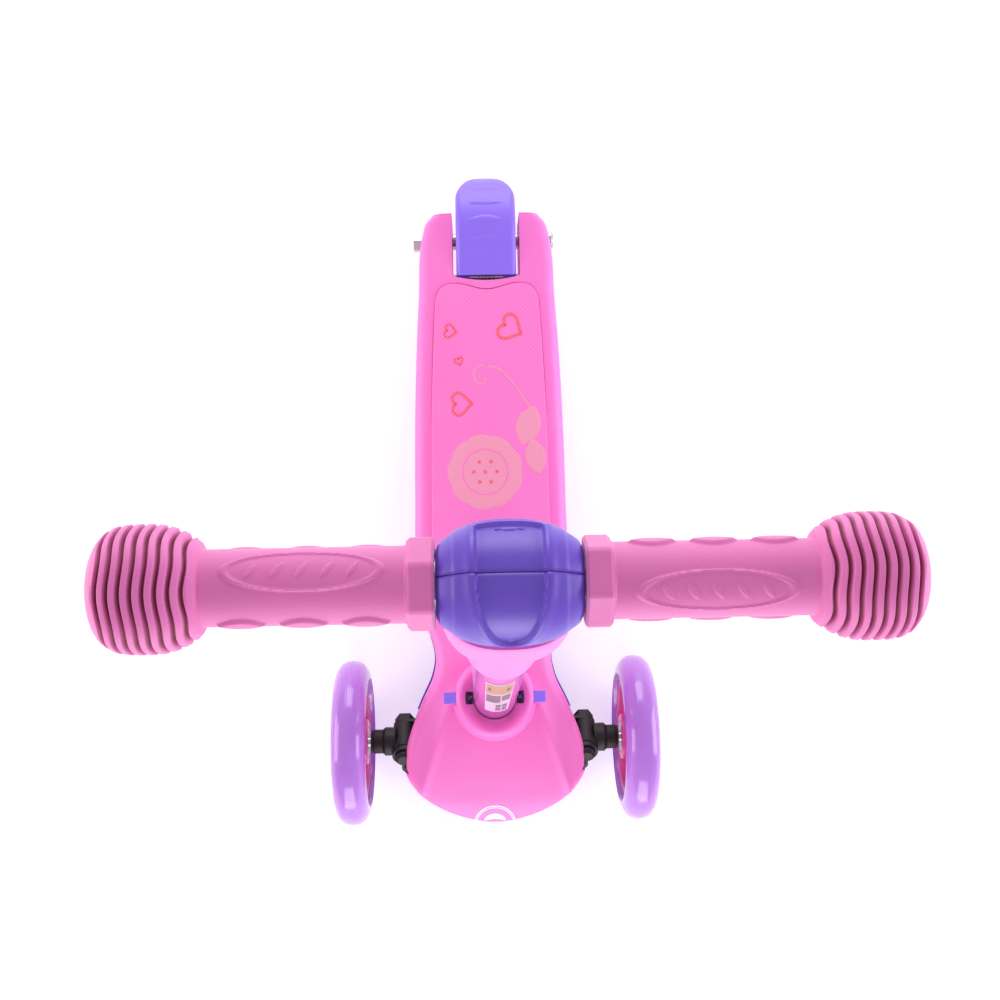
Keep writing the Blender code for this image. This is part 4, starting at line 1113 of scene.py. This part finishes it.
# ------------------------------------------------------------------ stem
@dataclass
class Stem:
    """Lower tube with its label, height collar, release buttons and neck; the hub and grips are built by
    their own classes.
    """

    layout: Layout
    tube: float = 0.0150

    def build(self) -> None:
        """Build every visible piece of the stem."""
        axes = self.layout.stem
        ring("lower_tube_coat", axes, [(0.0136, -0.0280), (self.tube, -0.0280), (self.tube, 0.3900),
                                       (0.0136, 0.3900)], TUBE, "deck", "lower_tube", rounding=0.0004)
        inner = [(0.0113, 0.1800), (0.0127, 0.1800), (0.0127, 0.4490), (0.0113, 0.4490)]
        ring("inner_tube_coat", axes, inner, TUBE, "upper_stem", "inner_tube", rounding=0.0004)
        self.collar()
        self.neck()
        self.label()
        self.buttons()
        screw = [(0.0, 0.0), (0.0030, 0.0), (0.0030, 0.0012), (0.0019, 0.0024), (0.0, 0.0028)]
        solid_ring("collar_screw_head", axes.at(0.0182, 0.0182, 0.0104), screw, BRASS, "deck", "socket_screw",
                   rounding=0.0004, columns=48)

    def neck(self) -> None:
        """The neck under the hub: superellipse rings, wider across than along, with a saddle for the hub."""
        levels = np.array([(0.3980, 0.0205, 0.0184), (0.3984, 0.0217, 0.0193), (0.3998, 0.0232, 0.0204),
                           (0.4025, 0.0244, 0.0212), (0.4090, 0.0255, 0.0220), (0.4180, 0.0260, 0.0225),
                           (0.4280, 0.0262, 0.0228), (0.4420, 0.0262, 0.0230), (0.4540, 0.0261, 0.0230),
                           (0.4560, 0.0259, 0.0228), (0.4570, 0.0254, 0.0223)])
        stem = self.layout.stem
        x, y = superellipse(np.linspace(0.0, TAU, 129)[:-1], 2.0 / 2.5)
        rows = coords(levels[:, 1:2] * x, levels[:, 2:3] * y, levels[:, :1])
        piece = solid(stem.world(rows)).build("neck_moulding")
        along = np.linspace(-0.0275, 0.0275, 61)
        saddle = coords(Hub(self.layout).barrel(along) + GAP, along)
        combine(piece, solid(turned(Axes(self.layout.bar(), stem.y, stem.z, stem.x), saddle, 160)))
        combine(piece, rod(stem, 0.0130, 0.390, 0.460))
        dress(shade(piece, 40.0), PINK, "upper_stem", "neck_bell")

    def collar(self) -> None:
        """The pink height collar with its clamp ears and slit, from two overlapping closed shapes."""
        axes = self.layout.stem
        wall = [(0.0155, 0.3050), (0.0176, 0.3050), (0.0181, 0.3075), (0.0183, 0.3600), (0.0190, 0.3930),
                (0.0190, 0.3975), (0.0131, 0.3975), (0.0131, 0.3903), (0.0155, 0.3903)]
        surface = Surface().grid(closed_turn(axes, rounded_profile(wall, 0.0009), 128))
        y, z = superellipse(np.linspace(0.0, TAU, 65)[:-1], 0.4)
        for side in (-1.0, 1.0):
            rows = [coords(side * x, 0.0198 + 0.0056 * deep * y, 0.3740 + 0.0140 * tall * z)
                    for x, deep, tall in ((0.0010, 1.0, 1.0), (0.0066, 1.0, 1.0), (0.0071, 0.92, 0.96))]
            surface.grid(axes.world(np.stack(rows)), wrap=True, caps=True)
        dress(surface.build("height_collar_moulding"), PINK, "deck", "height_collar")

    def wrap(self, u: np.ndarray, level: np.ndarray, lift: float) -> np.ndarray:
        """Carry flat points onto the tube: u is the arc length from the nose-side line."""
        angle = u / self.tube
        radius = self.tube + lift
        return self.layout.stem.world(coords(radius * np.sin(angle), -radius * np.cos(angle), level))

    def label(self) -> None:
        """A plain foil label on the tube, wrapped to its curve: a gold band with two dots over grey bars."""
        def panel(name: str, u0: float, u1: float, low: float, high: float, lift: float,
                  finish: Finish) -> None:
            """One thin curved rectangle of the label."""
            u, level = np.meshgrid(np.linspace(u0, u1, 24), np.linspace(low, high, 8))
            face, back = self.wrap(u, level, lift), self.wrap(u, level, lift - 0.00012)
            rows = np.concatenate([face, back[:, ::-1]], axis=1)
            piece = Surface().grid(rows, wrap=True)
            piece.grid(np.stack([face[0], back[0]])).grid(np.stack([face[-1], back[-1]]))
            dress(piece.build(name, 30.0), finish, "deck")

        panel("label_base", -0.0080, 0.0080, 0.0700, 0.2500, 0.00018, SILVER_INK)
        panel("label_gold_band", -0.0074, 0.0074, 0.1960, 0.2440, 0.00030, GOLD_FOIL)
        panel("label_grey_block", -0.0072, 0.0012, 0.1420, 0.1860, 0.00030, GREY_INK)
        panel("label_grey_strip", 0.0020, 0.0070, 0.1540, 0.1860, 0.00030, GREY_INK)
        for i in range(4):
            u, low = -0.0010 + 0.0040 * (i % 2), 0.0820 + 0.0240 * (i // 2)
            panel(f"label_square_{i}", u, u + 0.0032, low, low + 0.0180, 0.00030, GREY_INK)
        for i, u in enumerate((-0.0058, 0.0046)):
            panel(f"label_dot_{i}", u - 0.0006, u + 0.0012, 0.2120, 0.2270, 0.00042, GREY_INK)

    def buttons(self) -> None:
        """The two purple release buttons, soft-cornered blocks that stick out of the collar."""
        y, z = superellipse(np.linspace(0.0, TAU, 65)[:-1], 0.25)
        for side, word in ((-1.0, "left"), (1.0, "right")):
            body = "release_button_" + word
            rows = [coords(side * x, 0.0041 * y * share, 0.00415 + 0.00235 * z * share)
                    for x, share in ((0.0225, 1.0), (0.0352, 1.0), (0.0359, 0.96), (0.0362, 0.86))]
            dress(solid(self.layout.stem.world(np.stack(rows))).build("button_" + word), PURPLE_PAINTED_LIGHTER, body, body)
            # painted shade: dark plates for the purple bar and its slot where they sit in the shadowed gaps
            # between tube and collar
            self.plate("shaded_latch_" + word, side, (0.0188, 0.0224), (0.0059, 0.0064), body)
            self.plate("slot_painted_shade_" + word, side, (0.0156, 0.0226), (0.0016, 0.0019), "deck")

    def plate(self, name: str, side: float, reach: tuple[float, float], level: tuple[float, float],
              body: str) -> None:
        """A thin plate in the slot of a release button, dark purple as painted shade."""
        flat = np.array([[reach[0], -0.0042], [reach[1], -0.0042], [reach[1], 0.0042], [reach[0], 0.0042]])
        rows = lifted((flat * (side, 1.0))[::int(side)], level)
        dress(solid(self.layout.stem.world(rows)).build(name, 30.0), PURPLE_PAINTED_SHADE, body)


@dataclass
class Hub:
    """The barrel-shaped hub that clamps the crossbar: front and rear shells, split along the stem."""

    layout: Layout
    half: float = 0.0262
    radius: float = 0.0234
    taper: float = 0.0086
    panel: float = 0.0125

    def build(self) -> None:
        """Build both shells."""
        self.shell("hub_front_moulding", -1.0, "hub_front_shell")
        self.shell("hub_rear_moulding", 1.0, "hub_rear_shell")

    def barrel(self, x: np.ndarray) -> np.ndarray:
        """Radius of the plain barrel: full in the middle and drawn in towards its ends by a power curve."""
        return self.radius - self.taper * np.minimum(np.abs(x / self.half), 1.0) ** 2.6

    def outline(self, x: np.ndarray) -> np.ndarray:
        """Radius of the barrel with a shallow step near its ends and rolled rims."""
        end = np.abs(x / self.half)
        rim = 0.0016 * smooth_step(end, 0.93, 1.0) ** 2
        return self.barrel(x) - 0.0004 * smooth_step(end, 0.74, 0.79) - rim

    def relief(self, x: np.ndarray, angle: np.ndarray, sign: float) -> np.ndarray:
        """Ribs on both sides of a sunken middle panel.

        In front the ribs close to a U: the panel's half width shrinks as a power of the distance round the
        barrel from the U's bottom.  At the rear the panel ends in a square ledge with a small crescent lip.

        Args:
            x: Across the scooter.
            angle: 0 at the bottom of the hub, pi at its top.
            sign: -1 for the front shell, 1 for the rear.

        Returns:
            How far the surface stands below the barrel.
        """
        edge, start, crescent = self.panel, 1.0, 0.0
        if sign < 0.0:
            rise = np.clip((angle - 1.60) / (math.pi - 1.60), 0.0, 1.0)
            edge = self.panel * (1.0 - (1.0 - rise) ** 2) ** 0.62
            start = smooth_step(angle, 1.52, 1.66)
        else:
            start = smooth_step(angle, 2.06, 2.12)
            crescent = lens_mark(x, (angle - 2.24) * self.radius - 12.0 * x**2, 0.0125, 0.0026)
        off = np.abs(x) - edge
        inside = 1.0 - smooth_step(off, -0.0010, 0.0002)
        rib = bump(off - 0.0016, 0.0019)
        return start * (0.0017 * inside - 0.0007 * rib) + 0.0007 - 0.0006 * crescent

    def shell(self, name: str, sign: float, node: str) -> None:
        """One shell: a half barrel with an inner wall, closed along the parting line and at its ends."""
        x = np.linspace(-self.half, self.half, 121)[:, None]
        angle = np.linspace(0.0, math.pi, 161)[None, :]
        radius = self.outline(x) - self.relief(x, angle, sign)
        seam = 0.0006 * (bump(angle * self.radius, 0.0007) + bump((math.pi - angle) * self.radius, 0.0007))
        radius = radius - seam
        wall = np.full_like(radius, 0.0099)
        grids = []
        for reach in (radius, wall):
            y = sign * (GAP / 2.0 + reach * np.sin(angle))
            z = BAR_LEVEL - reach * np.cos(angle)
            grids.append(self.layout.stem.world(coords(x, y, z)))
        outer, inner = grids
        surface = Surface().grid(outer).grid(inner)
        for k in (0, -1):
            surface.grid(np.stack([outer[k], inner[k]])).grid(np.stack([outer[:, k], inner[:, k]]))
        piece = surface.build(name, 50.0)
        stem = self.layout.stem
        for screw_x in (-0.0165, 0.0165) if sign > 0.0 else ():
            place = stem.world(np.array([screw_x, 0.0, BAR_LEVEL - 0.0130]))
            combine(piece, rod(Axes(place, stem.x, -stem.z, stem.y), 0.0038, 0.0097, 0.03, 48))
        dress(shade(piece, 40.0), PURPLE, "upper_stem", node)


@dataclass
class Grip:
    """A rubber grip: hexagonal collar, sculpted handle and a ribbed ball end."""

    layout: Layout
    side: float
    word: str
    turn: float
    handle: float = 0.0139
    ball: float = 0.0231
    ball_middle: float = 0.1270
    ball_start: float = 0.1092
    tip: float = 0.1489
    ribs: int = 8
    first_groove: float = 0.1128
    pitch: float = 0.0041

    def build(self) -> None:
        """The grip's skin: a radius for every place along and round the bar."""
        s = np.concatenate([np.linspace(0.0266, 0.0375, 60), np.linspace(0.0378, 0.1070, 260),
                            np.linspace(0.1072, 0.1450, 400), 0.1450 + (self.tip - 0.1450)
                            * np.sin(np.linspace(0.04, math.pi / 2 - 0.01, 40))])
        angle = np.linspace(0.0, TAU, 193)[:-1]
        sheet = self.radius(s[:, None], angle[None, :])
        stem = self.layout.stem
        out = stem.x * self.side
        around = angle + self.turn
        local = coords(sheet * np.cos(around), sheet * np.sin(around), s[:, None])
        inner = lifted(circle(around, 0.0098), (s[0] + 0.1030, s[0]))
        axes = Axes(self.layout.bar(), stem.y, stem.z, out)
        piece = solid(axes.world(np.concatenate([inner, local]))).build("grip_skin_" + self.word, 60.0)
        self.paint_groove_shade(piece, axes.origin, out)
        dress(piece, GRIP, "upper_stem", "grip_" + self.word)

    def paint_groove_shade(self, piece: bpy.types.Object, place: np.ndarray, out: np.ndarray) -> None:
        """Store how deep each point lies in the ball's grooves, as the share of painted shade that darkens
        their bottoms.
        """
        flat = np.empty(len(piece.data.vertices) * 3)
        piece.data.vertices.foreach_get("co", flat)
        away = flat.reshape(-1, 3) - place
        s = away @ out
        reach = np.linalg.norm(away - s[:, None] * out, axis=1)
        deep = np.clip((self.dome(s) - reach - 0.0006) / 0.0022, 0.0, 1.0)
        deep *= (s > self.ball_start + 0.002) & (s < 0.1460)
        # the share of painted shade for each point
        shade_data = piece.data.attributes.new("painted_groove_shade", "FLOAT", "POINT").data
        shade_data.foreach_set("value", deep.astype(np.float32))

    def dome(self, s: np.ndarray) -> np.ndarray:
        """Radius of the ball without its grooves: an ellipse inwards, a flatter superellipse outwards."""
        inner = np.sqrt(np.clip(1.0 - ((s - self.ball_middle) / 0.0250) ** 2, 0.0, 1.0))
        t = np.clip((s - self.ball_middle) / (self.tip + 0.0001 - self.ball_middle), 0.0, 1.0)
        return self.ball * np.where(s < self.ball_middle, inner, (1.0 - t**4.0) ** (1.0 / 2.4))

    def radius(self, s: np.ndarray, angle: np.ndarray) -> np.ndarray:
        """Radius of the grip.

        The hexagonal collar is a circle divided by the cosine that makes six flats, softened at its corners.
        The handle is round with an oval medallion at angle 0 and lens-shaped swellings a quarter turn either
        side of it. The ball is an ellipse in profile, cut by ribs whose places wander in a six-fold wave.

        Args:
            s: Distance from the scooter's middle, along the bar.
            angle: Round the bar, 0 at the medallion.

        Returns:
            Radii.
        """
        sector = np.mod(angle, TAU / 6) - TAU / 12
        hexagon = 0.0150 / np.cos(sector)
        hexagon = np.minimum(hexagon, 0.0168) - 0.0009 * (1.0 - smooth_step(s, 0.0266, 0.0276))
        collar = hexagon - 0.0008 * smooth_step(s, 0.0352, 0.0362)
        round_off = angle - TAU * (angle > math.pi)
        u, v = s - 0.0725, self.handle * round_off
        oval = 1.0 - (u / 0.0290) ** 2 - (v / 0.0077) ** 2
        medal = 0.0009 * smooth_step(oval, -0.02, 0.10) - 0.0006 * smooth_step(oval, 0.16, 0.26)
        motif = 0.0
        for k in range(-2, 3):
            w = u - k * 0.0088
            motif = motif + 0.0005 * lens_mark(w * 0.6 + v * 0.8, v * 0.6 - w * 0.8, 0.0078, 0.0026)
        bumps = 0.0
        for centre in (0.0508, 0.0727, 0.0946):
            for at in (math.pi / 2, -math.pi / 2):
                bumps = bumps + 0.0013 * lens_mark(s - centre, self.handle * (round_off - at), 0.0185, 0.0074)
        handle = self.handle + medal + motif * smooth_step(oval, 0.3, 0.4) + bumps
        handle = handle + 0.0011 * smooth_step(s, 0.1088, 0.1096)
        dome = self.dome(s)
        phase = (s + 0.00045 * np.cos(6.0 * angle) - self.first_groove) / self.pitch
        groove = np.abs(np.mod(phase, 1.0) - 0.5) * 2.0
        last = 1.0 - smooth_step(phase, self.ribs - 0.65, self.ribs - 0.55)
        within = smooth_step(phase, -0.45, -0.35) * last
        cut = 0.0032 * within * smooth_step(groove, 0.42, 0.96)
        dome = dome - cut + 0.0003 * np.cos(6.0 * angle) * within
        start = smooth_step(s, self.ball_start - 0.0006, self.ball_start + 0.0006)
        body = np.where(s < 0.0366, collar, handle)
        ease = smooth_step(s, 0.0362, 0.0372)
        body = np.where((s >= 0.0362) & (s <= 0.0372), collar * (1 - ease) + handle * ease, body)
        return np.maximum(body * (1 - start) + np.maximum(dome, 0.0002) * start, 0.0002)


# ------------------------------------------------------------------ carried-over hardware
def dress_hardware(frame: dict) -> None:
    """Give the CAD nodes that still show their finishes.
    """
    finishes = {"zinc_steel": STEEL, "black_nylon": BLACK, "brass": BRASS, "purple_plastic": PURPLE,
                "pink_plastic": PINK, "lilac_tube": TUBE, "wheel_core": CORE, "clear_tyre": TYRE,
                "grip_rubber": GRIP, "grip_pad": PAD}
    slots = {row["node"]: row["material_slot"] for row in frame["record"]["subparts"]}
    for name, node in frame["nodes"].items():
        node.data.materials.clear()
        node.data.materials.append(finishes[slots[name]].material())


# ------------------------------------------------------------------ studio
@dataclass
class Studio:
    """A pale floor, soft lights and the camera above the scooter."""

    focal: float = 46.4
    camera_place: tuple[float, float, float] = (-0.0121, -0.0322, 1.0211)
    camera_turn: tuple[float, float, float] = (1.69, -1.12, -1.09)

    def build(self) -> None:
        """Build the floor, the lights, the world and the camera."""
        self.floor()
        for name, place, size, watts, colour in (
                ("rear", (0.0, 1.7, 0.60), 1.1, 15.0, (1.0, 1.0, 1.0)),
                ("nose", (0.0, -1.7, 0.50), 1.1, 16.0, (1.0, 0.97, 0.99)),
                ("left", (-1.7, 0.0, 0.50), 1.2, 18.0, (1.0, 0.86, 0.84)),
                ("right", (1.7, 0.0, 0.50), 1.2, 20.0, (0.95, 0.90, 1.0))):
            self.light(name, place, size, watts, colour)
        world = bpy.data.worlds.new("studio")
        world.use_nodes = True
        world.node_tree.nodes["Background"].inputs["Color"].default_value = (1.0, 1.0, 1.0, 1.0)
        world.node_tree.nodes["Background"].inputs["Strength"].default_value = 0.62
        bpy.context.scene.world = world
        bpy.context.scene.view_settings.view_transform = "Standard"
        self.camera()

    def floor(self) -> None:
        """A wide pale floor."""
        reach = 4.0
        corners = np.array([[[-reach, -reach, -0.0004], [reach, -reach, -0.0004]],
                            [[-reach, reach, -0.0004], [reach, reach, -0.0004]]])
        floor = Surface().grid(corners).build("floor")
        mat = bpy.data.materials.new("pale_floor")
        mat.use_nodes = True
        shader = mat.node_tree.nodes["Principled BSDF"]
        shader.inputs["Base Color"].default_value = (0.93, 0.93, 0.93, 1.0)
        shader.inputs["Roughness"].default_value = 0.9
        shader.inputs["Emission Color"].default_value = (1.0, 1.0, 1.0, 1.0)
        shader.inputs["Emission Strength"].default_value = 0.25
        floor.data.materials.append(mat)

    @staticmethod
    def light(name: str, place: tuple[float, float, float], size: float, watts: float,
              colour: tuple[float, float, float]) -> None:
        """A square area light that looks at the scooter's middle."""
        data = bpy.data.lights.new(name, "AREA")
        data.size, data.energy, data.color = size, watts, colour
        lamp = bpy.data.objects.new(name, data)
        lamp.location = place
        aim = np.array([0.0, 0.0, 0.2]) - np.array(place)
        lamp.rotation_euler = mathutils.Vector(aim).to_track_quat("-Z", "Y").to_euler()
        bpy.context.scene.collection.objects.link(lamp)

    def camera(self) -> None:
        """The camera, nearly straight above the scooter."""
        data = bpy.data.cameras.new("camera")
        data.lens, data.sensor_width = self.focal, 36.0
        camera = bpy.data.objects.new("camera", data)
        camera.location = self.camera_place
        camera.rotation_euler = tuple(math.radians(angle) for angle in self.camera_turn)
        bpy.context.scene.collection.objects.link(camera)
        bpy.context.scene.camera = camera


def main() -> None:
    """Load the frame, build every piece and report it."""
    logging.basicConfig(level=logging.INFO, format="%(message)s")
    for thing in list(bpy.data.objects):
        bpy.data.objects.remove(thing, do_unlink=True)
    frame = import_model()
    layout = Layout.read(frame["record"])
    dress_hardware(frame)
    Deck(layout).build()
    Steering(layout).build()
    for side, word in ((-1.0, "left"), (1.0, "right")):
        Wheel(word, word + "_wheel", layout.wheel(side), layout.wheel_radius, 0.0245, 0.0458, 6,
              side=side).build()
    rear = np.array([0.0, *layout.rear_axle])
    Wheel("rear", "rear_wheel", rear, layout.rear_axle[1], 0.0240, 0.0290, 0).build()
    Brake(layout).build()
    Stem(layout).build()
    Hub(layout).build()
    Grip(layout, -1.0, "left", math.radians(76.0)).build()
    Grip(layout, 1.0, "right", math.radians(118.0)).build()
    Studio().build()


if __name__ == "__main__":
    main()
